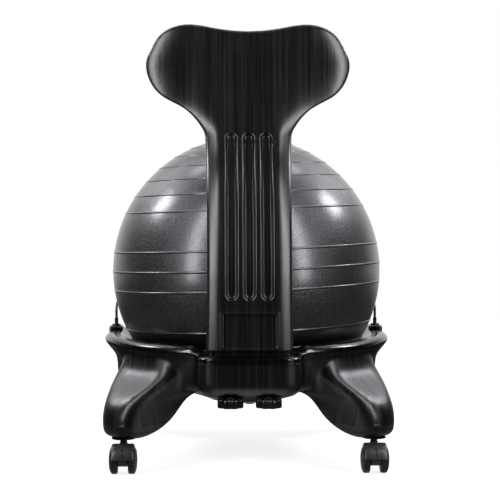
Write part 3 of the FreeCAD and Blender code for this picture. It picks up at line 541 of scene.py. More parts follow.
# %% The outside along one ray
# angles are in degrees, FLARE_FADE from the leg's axis and BLOCK_SPAN from straight back
FLARE_FADE, BLOCK_SPAN = (16, 26), 24
SKIRT_SHARE, SKIRT_FADE = 0.8, 2.4
CREASE_WIDTH, CREASE_LIES_BELOW = 9, (185, 205)
BLOCK_FILLET = 6.0


def outer_line(off_leg, off_back):
    """How far the outside reaches at each of the grid's heights, along one ray."""
    place = min(off_leg / ANGLE_STEP, len(GRID_ANGLES) - 1.001)
    share, first = place % 1, int(place)
    leg = LEG_GRID[:, first] * (1 - share) + LEG_GRID[:, first + 1] * share
    flare = on_grid(FLARES) * (1 - float(smooth_step(off_leg, *FLARE_FADE)))
    ring = on_grid(RING_RADII) + flare
    ridge = LEG_GRID[np.arange(len(RIDGES)), RIDGES]
    beyond = off_leg - GRID_ANGLES[RIDGES]
    fade = np.clip(1 - np.maximum(beyond, 0) / on_grid(SKIRTS), 0, 1) ** SKIRT_FADE
    side = ring + SKIRT_SHARE * np.maximum(ridge - ring, 0) * np.where(beyond > 0, fade, 0)
    low_enough = 1.02 - smooth_step(GRID_HEIGHTS, *CREASE_LIES_BELOW)
    crease = 0.5 + CREASE_WIDTH * smooth_step(beyond, -0.5, 3)
    line = soft_max(leg, side, crease * low_enough)
    if off_back < BLOCK_SPAN:
        block = np.array([block_reach(off_back, height) for height in GRID_HEIGHTS])
        line = soft_max(line, block, BLOCK_FILLET)
    return line

# %% Bowl, rim and groove
BOWL_POINTS, RIM_POINTS, WALL_POINTS, UNDER_POINTS = 20, 18, 30, 20
HOLE, BOWL_CENTRE, BOWL_RADIUS = 175.0, 352.0, 261.5
BOWL_LINE = [(HOLE, RING_LOW), (HOLE, 157.7)]
BOWL_LINE += [(r, BOWL_CENTRE - math.sqrt(BOWL_RADIUS ** 2 - r ** 2)) for r in range(180, 224, 6)]
BOWL_LINE += [(232, 220.5), (240, 225.5), (247, 228.8), (254, 230.6), (RIM_RADIUS, RIM_TOP)]
GROOVE_ROWS = [210.6, 208.6, 208.2, 205.8, 205.4, 203.2]
GROOVE_DEPTHS = np.array([0, 0, 1, 1, 0, 0])


def even_steps(points, count):
    """count points at even steps along a line, its ends included."""
    points = np.array(points, float)
    gaps = np.hypot(*(points[1:] - points[:-1]).T)
    run = np.concatenate([[0], np.cumsum(gaps)])
    at = np.linspace(0, run[-1], count)
    return np.stack([np.interp(at, run, points[:, 0]), np.interp(at, run, points[:, 1])], 1)


def rim_and_groove(reach, off_back):
    """The rim, and the groove under it, which is deep at the block and dies out beside it."""
    heights = np.arange(RIM_TOP, 211.9, -0.5)
    rim = np.stack([reach(heights), heights], 1)
    rim[0] = (RIM_RADIUS, RIM_TOP)
    depth = 1.6 - 1.1 * float(smooth_step(off_back, 19, 20.5)) \
        - 0.5 * float(smooth_step(off_back, 24, 28))
    groove = np.stack([reach(GROOVE_ROWS) - depth * GROOVE_DEPTHS, GROOVE_ROWS], 1)
    return even_steps(rim, RIM_POINTS), groove


print("points of the bowl:", len(BOWL_LINE))

# %% Wall and underside
LEG_END, BLOCK_END = 20.6, 21  # degrees
WALL_TOP = 200.5


def wall_and_underside(reach, off_leg, off_back):
    """Down the outside to the lowest edge, and back along the underside to the hole."""
    edge = float(np.interp(off_leg, EDGE_ANGLES, EDGE_HEIGHTS))
    if off_back < BLOCK_END:
        edge = min(edge, BLOCK["low"])
    heights = np.linspace(WALL_TOP, edge, 120)
    wall = even_steps(np.stack([reach(heights), heights], 1), WALL_POINTS)
    inward = np.linspace(wall[-1][0], HOLE, 60)
    away = np.cos(np.radians(min(off_leg, 30)))
    foot = LEG_PLANS[:FOOT_ROWS][::-1]
    under = np.minimum(np.interp(inward * away, foot[:, 3], foot[:, 0]), RING_LOW)
    if off_leg > LEG_END:
        under = np.full_like(inward, RING_LOW)
        if off_back < BLOCK_END:
            under = np.interp(inward, [HOLE + 20, 240], [RING_LOW, BLOCK["low"]])
    under[0] = wall[-1][1]
    return wall, even_steps(np.stack([inward, np.maximum(under, edge)], 1),
                            UNDER_POINTS)[1:-1]

# %% The section along one ray
BLOCK_DROP = 10.5  # how much lower the block is than the rim
DROP_FADE, DROPPED_HEIGHTS = (17.5, 23.5), (209, 226)


def section(off_leg, off_back):
    line = outer_line(off_leg, off_back)

    def reach(heights):
        return np.interp(heights, GRID_HEIGHTS, line)

    points = np.concatenate([even_steps(BOWL_LINE, BOWL_POINTS)[:-1],
                             *rim_and_groove(reach, off_back),
                             *wall_and_underside(reach, off_leg, off_back)])
    lowered = BLOCK_DROP * (1 - float(smooth_step(off_back, *DROP_FADE)))
    points[:, 1] -= lowered * smooth_step(points[:, 1], *DROPPED_HEIGHTS)
    return points


print("rows in a section:", len(section(45, 45)))

# %% [markdown]
# The spin sets its rays at even angles. They are spread afterwards, so that the creases and
# the block's corners get more of them than the plain wall does.

# %% Rays
LEG_FAN = [0.0, 1.0, 1.9, 2.7, 3.4, 4.0, 4.5]
while LEG_FAN[-1] < 18:
    LEG_FAN.append(LEG_FAN[-1] + max(9.0 * math.sin(math.radians(LEG_FAN[-1])) ** 2, 0.13))
LEG_ANGLES = (45.0, 135.0)


def ray_angles():
    """Angles from straight back, round one half, close together where the form turns."""
    angles = [0.0]
    for leg in LEG_ANGLES:
        first = leg - LEG_FAN[-1]
        while angles[-1] + 1.3 < first:
            at_block_corner = 11 <= angles[-1] < 21
            angles.append(angles[-1] + (0.35 if at_block_corner else 1.2))
        angles += [leg - off for off in reversed(LEG_FAN)] + [leg + off for off in LEG_FAN[1:]]
    return angles + list(np.linspace(angles[-1], 180, 25)[1:])


rays = ray_angles()
print("rays round one half:", len(rays))

# %% Spin the ring and draw it to its surface
def base_mesh():
    work = bmesh.new()
    row = work.verts.layers.int.new("row")
    line = [work.verts.new((0, -reach, height)) for reach, height in section(45, 0) * MM]
    for index, vert in enumerate(line):
        vert[row] = index
        work.edges.new((vert, line[index - 1]))
    spin(work, (0, 0, 1), math.pi, len(rays) - 1)
    shapes = [section(min(abs(ray - leg) for leg in LEG_ANGLES), ray) * MM for ray in rays]
    for vert in work.verts:
        turn = abs(math.atan2(vert.co.x, -vert.co.y))
        place = round(turn / math.pi * (len(rays) - 1))
        reach, height = shapes[place][vert[row]]
        ray = math.radians(rays[place])
        vert.co = (reach * math.sin(ray), -reach * math.cos(ray), height)
        if place in (0, len(rays) - 1):
            vert.co.x = 0.0
    bmesh.ops.mirror(work, geom=list(work.verts) + list(work.edges) + list(work.faces),
                     matrix=Matrix.Identity(4), merge_dist=1e-6, axis="X")
    bmesh.ops.remove_doubles(work, verts=work.verts, dist=1e-6)
    bmesh.ops.recalc_face_normals(work, faces=work.faces)
    return work, row


base_work, row = base_mesh()
print("base:", len(base_work.verts), "points")

# %% [markdown]
# The wall and the underside are smoothed, so that their fillets are as soft as blown plastic.
# The lower side of the rim is smoothed too, but not across the back of the block, which has a
# crisp edge.

# %% Soften the wall
FIRST_WALL_ROW = BOWL_POINTS - 1 + RIM_POINTS + len(GROOVE_ROWS)


def is_soft(vert):
    across, away = abs(vert.co.x) / MM, vert.co.y > 0
    if vert[row] >= FIRST_WALL_ROW:
        return True
    if vert[row] > 30 and (across > 125 or away):
        return True
    return vert[row] > 20 and 85 < across < 130 and not away


soft = [vert for vert in base_work.verts if is_soft(vert)]
smooth(base_work, soft, 6)
print("softened points:", len(soft))

# %% [markdown]
# Each end of the rod stands in a small boss on the rim. The bosses are boxes with all their
# edges rounded, set into the rim.

# %% Bosses for the rod
BOSS = {"half": Vector((13.5, 18, 12)), "middle": 226.0, "radius": 3.5}


def rounded_box(middle, half, radius):
    work = bmesh.new()
    bmesh.ops.create_cube(work, size=1.0)
    bmesh.ops.scale(work, vec=2 * half, verts=work.verts)
    bmesh.ops.translate(work, vec=middle, verts=work.verts)
    bevel(work, list(work.edges), radius, 4)
    return work


for side in ("left", "right"):
    low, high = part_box("rod_grommet_" + side)
    middle = (low + high) / 2
    middle.z = BOSS["middle"] * MM
    join_into(base_work, rounded_box(middle, BOSS["half"] * MM, BOSS["radius"] * MM))
make_piece(base_work, "base_moulding", "base", base_black, ["base_shell"],
           sharp=50)

# %% [markdown]
# ## The backrest
# The backrest is a hollow moulding too: a flat stem that leans forward over the ball and ends
# in a wide head with two lobes. Its edges are soft and deep, and three long slots and a
# square recess stiffen it. A cut with a Boolean would leave hard lips there, while a real
# mould has none, so the grid follows the outline and every point is pushed to its depth.

# %% Outline of the backrest
SHOULDER = (170, 786)
BACK_SIDE = [(79, 163.6), (76.5, 260), (75.2, 410), (76.6, 520), (78.8, 600), (80.5, 614),
             (88.6, 629), (99.5, 643), (114, 657), (129, 666.3), (143.8, 674), (159, 683),
             (171.4, 695), (181.5, 711), (188, 733), (187, 751), (180.3, 767)]
BACK_TOP = [SHOULDER, (156.5, 800), (137, 810.5), (113, 815), (88, 813.2), (62, 808.5),
            (30, 804.1), (0, 802.5)]


def smooth_line(points, count):
    """A smooth line through points, as count even steps."""
    work = bpy.data.curves.new("line", "CURVE")
    work.dimensions = "3D"
    work.resolution_u = 24
    spline = work.splines.new("BEZIER")
    spline.bezier_points.add(len(points) - 1)
    for knot, (across, height) in zip(spline.bezier_points, points):
        knot.co = (across, height, 0)
        knot.handle_left_type = knot.handle_right_type = "AUTO"
    holder = bpy.data.objects.new("line", work)
    mesh = bpy.data.meshes.new_from_object(holder)
    dense = [(vert.co.x, vert.co.y) for vert in mesh.vertices]
    bpy.data.objects.remove(holder)
    bpy.data.curves.remove(work)
    bpy.data.meshes.remove(mesh)
    return even_steps(dense, count)


outline = smooth_line(BACK_SIDE + BACK_TOP, 900)
split = int(np.argmin(np.hypot(*(outline - SHOULDER).T)))
side_line, top_line = outline[:split + 1], outline[split:]
print("widest", round(float(outline[:, 0].max()), 1),
      "top", round(float(outline[:, 1].max()), 1))

# %% Lean of the backrest
BACK_FACE, BACK_THICK, BACK_LEAN = -296.0, 30.0, 139.0
BEND_LOW, BEND_HIGH, ABOVE_ALL = 352.0, 760.0, 1000.0
bend_turn = 2 * math.atan2(BACK_LEAN, BEND_HIGH - BEND_LOW)
bend_radius = (BEND_HIGH - BEND_LOW) / (2 * math.sin(bend_turn))


def slab_line(depth):
    """Heights and places along a face of the slab, depth behind its rear face."""
    heights, forwards = [0.0, BEND_LOW], [BACK_FACE + depth] * 2
    low_radius, high_radius = bend_radius - depth, bend_radius + depth
    for angle in np.linspace(0, bend_turn, 30)[1:]:
        heights.append(BEND_LOW + low_radius * math.sin(angle))
        forwards.append(BACK_FACE + bend_radius - low_radius * math.cos(angle))
    for angle in np.linspace(bend_turn, 0, 30)[1:]:
        heights.append(BEND_HIGH - high_radius * math.sin(angle))
        forwards.append(BACK_FACE + BACK_LEAN - bend_radius + high_radius * math.cos(angle))
    return np.array(heights + [ABOVE_ALL]), np.array(forwards + [forwards[-1]])


REAR, FRONT = slab_line(0.0), slab_line(BACK_THICK)
print("stem leans", round(float(np.interp(BEND_HIGH, *REAR) - BACK_FACE)), "mm forward")

# %% [markdown]
# The grid's columns stay upright along the stem, so that they run with the slots, and spread
# out in the head. Its rows are close together where a slot ends, and bend up to follow the
# two lobes. The distance of each point to the outline sets how far the surface has rounded
# off there, and its distance to a slot sets how deep it lies. Below 228 mm the stem is cut back
# to a tenon, which stands in the block's pocket.

# %% Rows
def spaced(stops):
    """Positions from pairs of a start and the step that holds from there on."""
    out = []
    for (start, step), (end, _) in zip(stops, stops[1:]):
        count = max(int(round((end - start) / step)), 1)
        out += list(np.linspace(start, end, count, endpoint=False))
    return out + [stops[-1][0]]


ROW_HEIGHTS = spaced([(163.6, 16), (226.4, 0.45), (228.6, 1.2), (231, 1), (239, 5), (289, 1),
                      (297, 5), (312, 1.1), (332, 6), (598, 1.1), (618, 4.5), (640, 4),
                      (745, 4), (SHOULDER[1], 0)])
print("rows", len(ROW_HEIGHTS))

# %% Columns
INNER_SPAN = 51.0
INNER = np.array(spaced([(0, 1.1), (5.4, 0.7), (12.4, 1.2), (19.2, 0.7), (26.2, 1.1), (37, 0.7),
                         (44, 1.7), (47.4, 0.8), (INNER_SPAN, 0)]))
EDGE_SPAN = 25.0
EDGE_STEPS = np.array([0, 0.5, 1.3, 2.4, 3.8, 5.5, 7.5, 9.8, 12.3, 15, 17.8, 20.6,
                       23.2]) / EDGE_SPAN


def columns(height):
    """The places of the columns to the right of the middle, out to the outline."""
    half = float(np.interp(height, side_line[:, 1], side_line[:, 0]))
    inner_end = INNER_SPAN + 0.45 * max(half - 77.5, 0) * float(smooth_step(height, 612, 680))
    span = half - inner_end
    stretch = max(span - EDGE_SPAN, 0.0)
    edges = EDGE_STEPS * min(span, EDGE_SPAN) + stretch * EDGE_STEPS ** 2.2
    return np.concatenate([INNER * inner_end / INNER_SPAN, half - edges[::-1]])


def row_points(height):
    """Across and up for the right half of one row."""
    across = columns(height)
    lift = float(smooth_step(height, 650, ROW_HEIGHTS[-1]))
    scale = top_line[0, 0] / across[-1]
    tops = np.interp(across * scale, top_line[::-1, 0], top_line[::-1, 1])
    return across, height + lift * (tops - top_line[0, 1])


print("columns", 2 * len(columns(400)) - 1)

# %% Roundness of the edges
both_sides = np.concatenate([outline, outline[::-1] * (-1, 1)])
ROUNDED_OUTLINE = both_sides[both_sides[:, 1] > 164]
STEEP = 27.0  # degrees, where the round edge turns into the bevel


def edge_profile(slope_gap, slope, spread):
    """The face's height, as a share of half the thickness, at each gap to the edge.

    The edge is round, then a bevel rises to the given gap and slope, and then it dies out."""
    half, tip_width = BACK_THICK / 2, 4.0
    for _ in range(5):
        gaps = np.linspace(tip_width, spread, 160)
        angles = np.interp(gaps, [tip_width, slope_gap, spread], [STEEP, slope, 0])
        climb = np.concatenate([[0], np.cumsum(np.diff(gaps) * np.tan(
            np.radians((angles[1:] + angles[:-1]) / 2)))])
        tip = (half - climb[-1]) / math.cos(math.radians(STEEP))
        tip_width = tip * (1 - math.sin(math.radians(STEEP)))
    edge = np.linspace(0, 1, 30)[:-1] ** 2 * tip_width
    round_off = np.sqrt(np.maximum(tip ** 2 - (tip - edge) ** 2, 0))
    return (np.concatenate([edge, gaps]),
            np.concatenate([round_off, half - climb[-1] + climb]) / half)


STEM_EDGE, HEAD_EDGE = edge_profile(18.0, 20.0, 27.0), edge_profile(14.0, 18.0, 46.0)


def edge_share(across, height):
    """0 on the outline and 1 where the face is flat."""
    gap = float(np.min(np.hypot(*(ROUNDED_OUTLINE - (across, height)).T)))
    stem, head = np.interp(gap, *STEM_EDGE), np.interp(gap, *HEAD_EDGE)
    return float(stem + (head - stem) * smooth_step(height, 590, 690))


print("10 mm from the stem's edge:", round(edge_share(66, 450), 2))

# %% Slots and recess
# half widths, pitch, lowest and highest point and depth
SLOT = {"half": 11.75, "pitch": 31.6, "low": 316.0, "high": 614.5, "depth": 5.8}
RECESS = {"half": 49.0, "low": 233.0, "high": 294.0, "depth": 5.0, "corner": 2.5}
CHAMFER = 0.68


def slot_depth(across, height):
    """A slot has a small chamfer at its lip and another half way down its wall."""
    middle = min((-1, 0, 1), key=lambda step: abs(across - step * SLOT["pitch"]))
    aside = abs(across - middle * SLOT["pitch"])
    centre, reach = (SLOT["low"] + SLOT["high"]) / 2, (SLOT["high"] - SLOT["low"]) / 2
    beyond = max(abs(height - centre) - (reach - SLOT["half"]), 0.0)
    inside = SLOT["half"] - math.hypot(aside, beyond)
    chamfers = CHAMFER * (min(max(inside + 0.3, 0.0), 1.4) + min(max(inside - 4.4, 0.0), 1.2))
    return SLOT["depth"] * float(smooth_step(inside, 0.9, 4.7)) + chamfers


def recess_depth(across, height):
    """The recess has square corners and a low ledge round it."""
    centre, corner = (RECESS["high"] + RECESS["low"]) / 2, RECESS["corner"]
    box_x = RECESS["half"] - abs(across)
    box_z = (RECESS["high"] - RECESS["low"]) / 2 - abs(height - centre)
    inside = min(box_x, box_z)
    if box_x < corner and box_z < corner:
        inside = corner - math.hypot(corner - box_x, corner - box_z)
    ledge = 0.7 * math.exp(-((inside + 1.6) / 1.2) ** 2)
    return RECESS["depth"] * float(smooth_step(inside, -0.3, 2.2)) - ledge


print("slot floor", round(slot_depth(0, 450), 2), "recess", round(recess_depth(40, 260), 2))

# %% Place one point of the backrest
TENON_DEPTH, TENON_SHARE, TENON_TOP = 9, 0.07, (226.6, 228.2)


def back_point(across, height, share, is_front):
    """share is 0 on the outline, where rear and front meet, and 1 where the face is flat."""
    rear, front = (float(np.interp(height, *line)) for line in (REAR, FRONT))
    centre, half = (rear + front) / 2, (front - rear) / 2
    tenon = 1 - float(smooth_step(height, *TENON_TOP))
    if is_front:
        forward = centre + half * share
    else:
        depth = slot_depth(across, height) + recess_depth(across, height)
        forward = centre - half * share + depth * (share ** 2)
        forward += TENON_DEPTH * tenon * share
    return Vector((across * (1 - TENON_SHARE * tenon), forward, height)) * MM


def at_slot_end(vert):
    """True where a slot ends, which gets smoothed so that its round end has no facets."""
    across, height = abs(vert.co.x) / MM, vert.co.z / MM
    return across < 48 and (310 < height < 332 or 598 < height < 620)

# %% Build the backrest
def back_mesh():
    right = [row_points(height) for height in ROW_HEIGHTS]
    middle, last_row = len(right[0][0]) - 1, len(ROW_HEIGHTS) - 1
    work = bmesh.new()
    column, level, front = (work.verts.layers.int.new(name)
                            for name in ("column", "level", "front"))
    bmesh.ops.create_grid(work, x_segments=2 * middle, y_segments=last_row, size=1.0)
    for vert in work.verts:
        vert[column] = round((vert.co.x + 1) / 2 * 2 * middle)
        vert[level] = round((vert.co.y + 1) / 2 * last_row)
    grown = bmesh.ops.extrude_face_region(work, geom=list(work.faces), use_keep_orig=True)
    for item in grown["geom"]:
        if isinstance(item, bmesh.types.BMVert):
            item[front] = 1
    for vert in work.verts:
        outs, ups = right[vert[level]]
        place = vert[column] - middle
        across = math.copysign(outs[abs(place)], place) if place else 0.0
        height = float(ups[abs(place)])
        on_outline = abs(place) == middle or vert[level] == last_row
        share = 0.0 if on_outline else edge_share(across, height)
        vert.co = back_point(across, height, share, vert[front])
    smooth(work, [vert for vert in work.verts if at_slot_end(vert)], 3, "Y")
    return work


make_piece(back_mesh(), "backrest_moulding", "base", back_black,
           ["backrest_shell"], sharp=60)

# %% [markdown]
# ## The ball
# The ball is a skin of revolution with low ribs moulded round its own axis. Its half section
# is drawn once, with a few points across each rib, and spun. The ball sits in the ring a
# little askew, so the finished form is leaned about its centre.

# %% Ribs of the ball
# a rib's rise and half width, and the angles that the ball is leaned and rolled by
BALL = {"radius": 260.0, "rise": 1.2, "half": 2.3, "centre": 352.0, "lean": 1.4, "roll": 2.1}
RIB_STEPS = [0, 8.15] + [25.4 + 8.1 * step for step in range(7)]
RIBS = sorted({1.8 + side * angle for angle in RIB_STEPS for side in (-1, 1)})


def ball_height_over(angle):
    """How far the skin stands out at an angle from the belt."""
    gap = min(abs(angle - rib) for rib in RIBS) * math.radians(1) * BALL["radius"]
    crest = 1 - float(smooth_step(gap, 0.25 * BALL["half"], BALL["half"]))
    return BALL["rise"] * crest


print("ribs:", len(RIBS))

# %% The ball
def ball_section():
    angles = set(np.round(np.linspace(-90, 90, 121), 3))
    for rib in RIBS:
        angles.update(np.round(rib + np.linspace(-0.6, 0.6, 15), 3))
    for angle in sorted(a for a in angles if -90 <= a <= 90):
        reach = BALL["radius"] + (ball_height_over(angle) if abs(angle) < 89 else 0)
        turn = math.radians(angle)
        across = 0.0 if abs(angle) == 90 else reach * math.cos(turn)
        yield across * MM, 0, reach * math.sin(turn) * MM


def ball_mesh():
    work = bmesh.new()
    chain(work, ball_section())
    spin(work, (0, 0, 1), 2 * math.pi, 144, merge=True)
    askew = (Matrix.Translation((0, 0, BALL["centre"] * MM))
             @ Matrix.Rotation(math.radians(-BALL["roll"]), 4, "Y")
             @ Matrix.Rotation(math.radians(-BALL["lean"]), 4, "X"))
    bmesh.ops.transform(work, matrix=askew, verts=work.verts)
    return work


make_piece(ball_mesh(), "ball_with_ribs", "ball", vinyl, ["ball_skin"])

# %% [markdown]
# ## The hand knobs
# Two lobed knobs under the block hold the backrest. A circle gets its lobes from a cosine,
# and is then extruded and drawn in a few times, which rounds its upper and lower edges.

# %% Hand knobs
KNOB = {"radius": 24.2, "lobes": 8, "dip": 3.6, "height": 16.0}
# share of the radius, and the drop below the knob's top
KNOB_PROFILE = [(0.90, 0.0), (0.96, 0.35), (0.99, 1.1), (1.0, 2.2), (1.0, 13.4), (0.985, 14.8),
                (0.95, 15.7), (0.9, 16.0), (0.62, 16.0), (0.55, 15.6), (0.42, 14.8),
                (0.34, 14.6), (0.32, 10.7)]


def knob_ring(ring, scale, height):
    """Sets a ring of points to its radius, with lobes on the outer rings only."""
    dip = KNOB["dip"] if scale > 0.7 else 0.0
    for vert in ring:
        turn = math.atan2(vert.co.y, vert.co.x)
        wave = (0.5 + 0.5 * math.cos(KNOB["lobes"] * turn)) ** 2.2
        radius = (KNOB["radius"] - dip * wave) * scale * MM
        vert.co = Vector((radius * math.cos(turn), radius * math.sin(turn), height))


def knob_mesh(middle, top, bottom):
    work = bmesh.new()
    bmesh.ops.create_circle(work, cap_ends=False, segments=192, radius=1.0)
    ring, edges = list(work.verts), list(work.edges)
    for scale, drop in KNOB_PROFILE:
        if drop:
            grown = bmesh.ops.extrude_edge_only(work, edges=edges)["geom"]
            ring = [item for item in grown if isinstance(item, bmesh.types.BMVert)]
            edges = [item for item in grown if isinstance(item, bmesh.types.BMEdge)
                     and all(vert in set(ring) for vert in item.verts)]
        knob_ring(ring, scale, -drop * (top - bottom) / KNOB["height"])
    bmesh.ops.contextual_create(work, geom=edges)
    rim = [edge for edge in work.edges if len(edge.link_faces) == 1]
    bmesh.ops.contextual_create(work, geom=rim)
    bmesh.ops.translate(work, vec=(middle.x, middle.y, top), verts=work.verts)
    return work


for side in ("left", "right"):
    low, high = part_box("knob_" + side)
    make_piece(knob_mesh((low + high) / 2, high.z, low.z), "hand_knob_" + side,
               "knob_" + side, nylon_black, ["knob_" + side])

# %% [markdown]
# ## The casters
# Each caster has two wheels under one curved hood. The hood's section across the caster is
# spun round the wheels' axle for a little less than half a turn and then gets its wall. A
# web between the wheels and a round housing for the stem are joined to it.

# %% Shell of a hood
HOOD = {"half": 20.6, "outer": 29.6, "wall": 2.2, "start": -72, "turn": 154}
# half of the section: inset from the side and drop from the outer radius
HOOD_EDGE = [(0, 3.0), (0.4, 1.7), (1.3, 0.7), (2.8, 0.15), (9.6, 0), (16.1, 0), (18.9, 0)]
KEYHOLE = {"half": 1.7, "low": 20, "high": 50, "inset": 0.35, "depth": 1.8}


def in_keyhole(face):
    middle = face.calc_center_median()
    rise = math.degrees(math.atan2(middle.z, -middle.y))
    return abs(middle.x) < KEYHOLE["half"] * MM and KEYHOLE["low"] < rise < KEYHOLE["high"]


def hood_shell():
    """The curved cover, with a small slot in its rear."""
    side = [(-HOOD["half"] + inset, HOOD["outer"] - drop) for inset, drop in HOOD_EDGE]
    work = bmesh.new()
    chain(work, [(x * MM, 0, r * MM) for x, r in side + [(-x, r) for x, r in reversed(side)]])
    bmesh.ops.rotate(work, cent=(0, 0, 0), verts=work.verts,
                     matrix=Matrix.Rotation(math.radians(HOOD["start"]), 3, "X"))
    spin(work, (1, 0, 0), math.radians(HOOD["turn"]), 44)
    bmesh.ops.recalc_face_normals(work, faces=work.faces)
    if sum(face.normal.dot(face.calc_center_median()) for face in work.faces) < 0:
        bmesh.ops.reverse_faces(work, faces=work.faces)
    bmesh.ops.inset_region(work, faces=[face for face in work.faces if in_keyhole(face)],
                           thickness=KEYHOLE["inset"] * MM, depth=-KEYHOLE["depth"] * MM,
                           use_even_offset=True, use_boundary=True)
    bmesh.ops.solidify(work, geom=list(work.faces), thickness=HOOD["wall"] * MM)
    return work

# %% Web of a hood and housing of a stem
WEB = {"half": 8.4, "radius": 26.5, "squash": 0.42, "bevel": 0.8}
HOUSING = {"radius": 7.2, "height": 28.4, "low": 26.2, "bevel": 1.2}


def flat_edges(work, axis):
    """The edges that lie square to an axis: the rims of a disc or of a cylinder."""
    return [edge for edge in work.edges
            if abs(edge.verts[0].co[axis] - edge.verts[1].co[axis]) < 1e-6]


def hood_web():
    """A disc between the wheels, flattened in its lower half."""
    work = bmesh.new()
    bmesh.ops.create_circle(work, cap_ends=True, segments=48, radius=WEB["radius"] * MM)
    bmesh.ops.rotate(work, cent=(0, 0, 0), matrix=Matrix.Rotation(math.pi / 2, 3, "Y"),
                     verts=work.verts)
    for vert in work.verts:
        if vert.co.z < 0:
            vert.co.z *= WEB["squash"]
    grown = bmesh.ops.extrude_face_region(work, geom=list(work.faces))
    moved = [item for item in grown["geom"] if isinstance(item, bmesh.types.BMVert)]
    bmesh.ops.translate(work, vec=(2 * WEB["half"] * MM, 0, 0), verts=moved)
    bmesh.ops.translate(work, vec=(-WEB["half"] * MM, 0, 0), verts=work.verts)
    bevel(work, flat_edges(work, 0), WEB["bevel"] * MM, 2)
    bmesh.ops.recalc_face_normals(work, faces=work.faces)
    return work


def stem_housing(stem):
    work = bmesh.new()
    bmesh.ops.create_cone(work, cap_ends=True, segments=40, radius1=HOUSING["radius"] * MM,
                          radius2=HOUSING["radius"] * MM, depth=HOUSING["height"] * MM)
    bevel(work, flat_edges(work, 2), HOUSING["bevel"] * MM, 3)
    middle = (HOUSING["low"] + HOUSING["height"] / 2) * MM
    bmesh.ops.translate(work, vec=(stem.x, stem.y, middle), verts=work.verts)
    return work

# %% Hoods
CORNERS = ("rear_left", "rear_right", "front_left", "front_right")
for corner in CORNERS:
    low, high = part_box("wheel_%s_left" % corner)
    far_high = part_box("wheel_%s_right" % corner)[1]
    axle = ((low.x + far_high.x) / 2, (low.y + high.y) / 2, (low.z + high.z) / 2)
    stem_low, stem_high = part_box("caster_stem_" + corner)
    hood = hood_shell()
    join_into(hood, hood_web())
    bmesh.ops.translate(hood, vec=axle, verts=hood.verts)
    join_into(hood, stem_housing((stem_low + stem_high) / 2))
    make_piece(hood, "hood_" + corner, "caster_" + corner, nylon_hood,
               ["caster_hood_" + corner], sharp=35)

# %% [markdown]
# A caster wheel is turned: a tread with soft edges, a flat face with a ring round it, and a
# dished hub. One spun section gives all of it.

# %% Wheels
# depth from the wheel's inner side and radius, then depth from its outer side and radius
WHEEL_INNER = [(0, 3.2), (0, 20.5), (0.5, 23.2), (1.6, 24.5), (3, 25)]
WHEEL_OUTER = [(6.6, 25), (5.2, 24.6), (4.1, 23.8), (3.2, 22.4), (2.4, 20.6), (2.2, 20.2),
               (2.4, 19.8), (1.7, 19.4), (0.9, 16.5), (0.3, 13), (0, 9.5), (0, 8.4),
               (0.5, 7.9), (0.8, 7.2), (0.8, 4.2), (1.2, 3.2)]


def wheel_mesh(low, high, outside):
    """outside is -1 or 1: the side that faces away from the caster's middle."""
    half = (high.x - low.x) / 2 / MM
    profile = [(-half + depth, r) for depth, r in WHEEL_INNER]
    profile += [(half - depth, r) for depth, r in WHEEL_OUTER]
    work = bmesh.new()
    chain(work, [(outside * x * MM, 0, r * MM) for x, r in profile], closed=True)
    spin(work, (1, 0, 0), 2 * math.pi, 64, merge=True)
    bmesh.ops.translate(work, vec=(low + high) / 2, verts=work.verts)
    return work


for corner in CORNERS:
    for side, outside in (("left", -1), ("right", 1)):
        node = "wheel_%s_%s" % (corner, side)
        make_piece(wheel_mesh(*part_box(node), outside), "tyre_%s_%s" % (corner, side), node,
                   tread_black, [node], sharp=40)

# %% [markdown]
# ## Floor, background and lamps
# The chair stands on a plain white sweep. The floor takes the shadow and is lifted to white
# for the camera and for reflections only, so no lamp has to be brighter for it. A glossy
# surface sees less of it than the camera does: a bright patch under the block, dim paper round
# the chair, and the sweep rising far behind. Behind the chair the world is white, and behind
# the camera it is dark, as in a studio, because a black plastic shows little else than what it
# reflects.

# %% Floor
floor_work = bmesh.new()
bmesh.ops.create_grid(floor_work, x_segments=1, y_segments=1, size=12.0)
floor_mesh = bpy.data.meshes.new("floor")
floor_work.to_mesh(floor_mesh)
floor_work.free()
floor = bpy.data.objects.new("floor", floor_mesh)
bpy.context.collection.objects.link(floor)
print("floor", floor.dimensions[:2])

# %% Paper of the sweep
sweep, tree, shader, place = new_finish("white_sweep")
for entry, value in (("Roughness", 0.9), ("Specular IOR Level", 0.0),
                     ("Emission Color", (1, 1, 1, 1))):
    shader.inputs[entry].default_value = value
seen_by = tree.nodes.new("ShaderNodeLightPath").outputs
distance = maths(tree, "LENGTH", place, kind="VectorMath")
paper = ramp(tree, distance, 0.5, 1.0, 0.3, 0.03)
darker = maths(tree, "MULTIPLY_ADD", seen_by["Is Camera Ray"], 0.75, 0.25)
feed(tree, shader.inputs["Base Color"], maths(tree, "MULTIPLY", darker, paper))
floor.data.materials.append(sweep)
print("paper:", sweep.name)

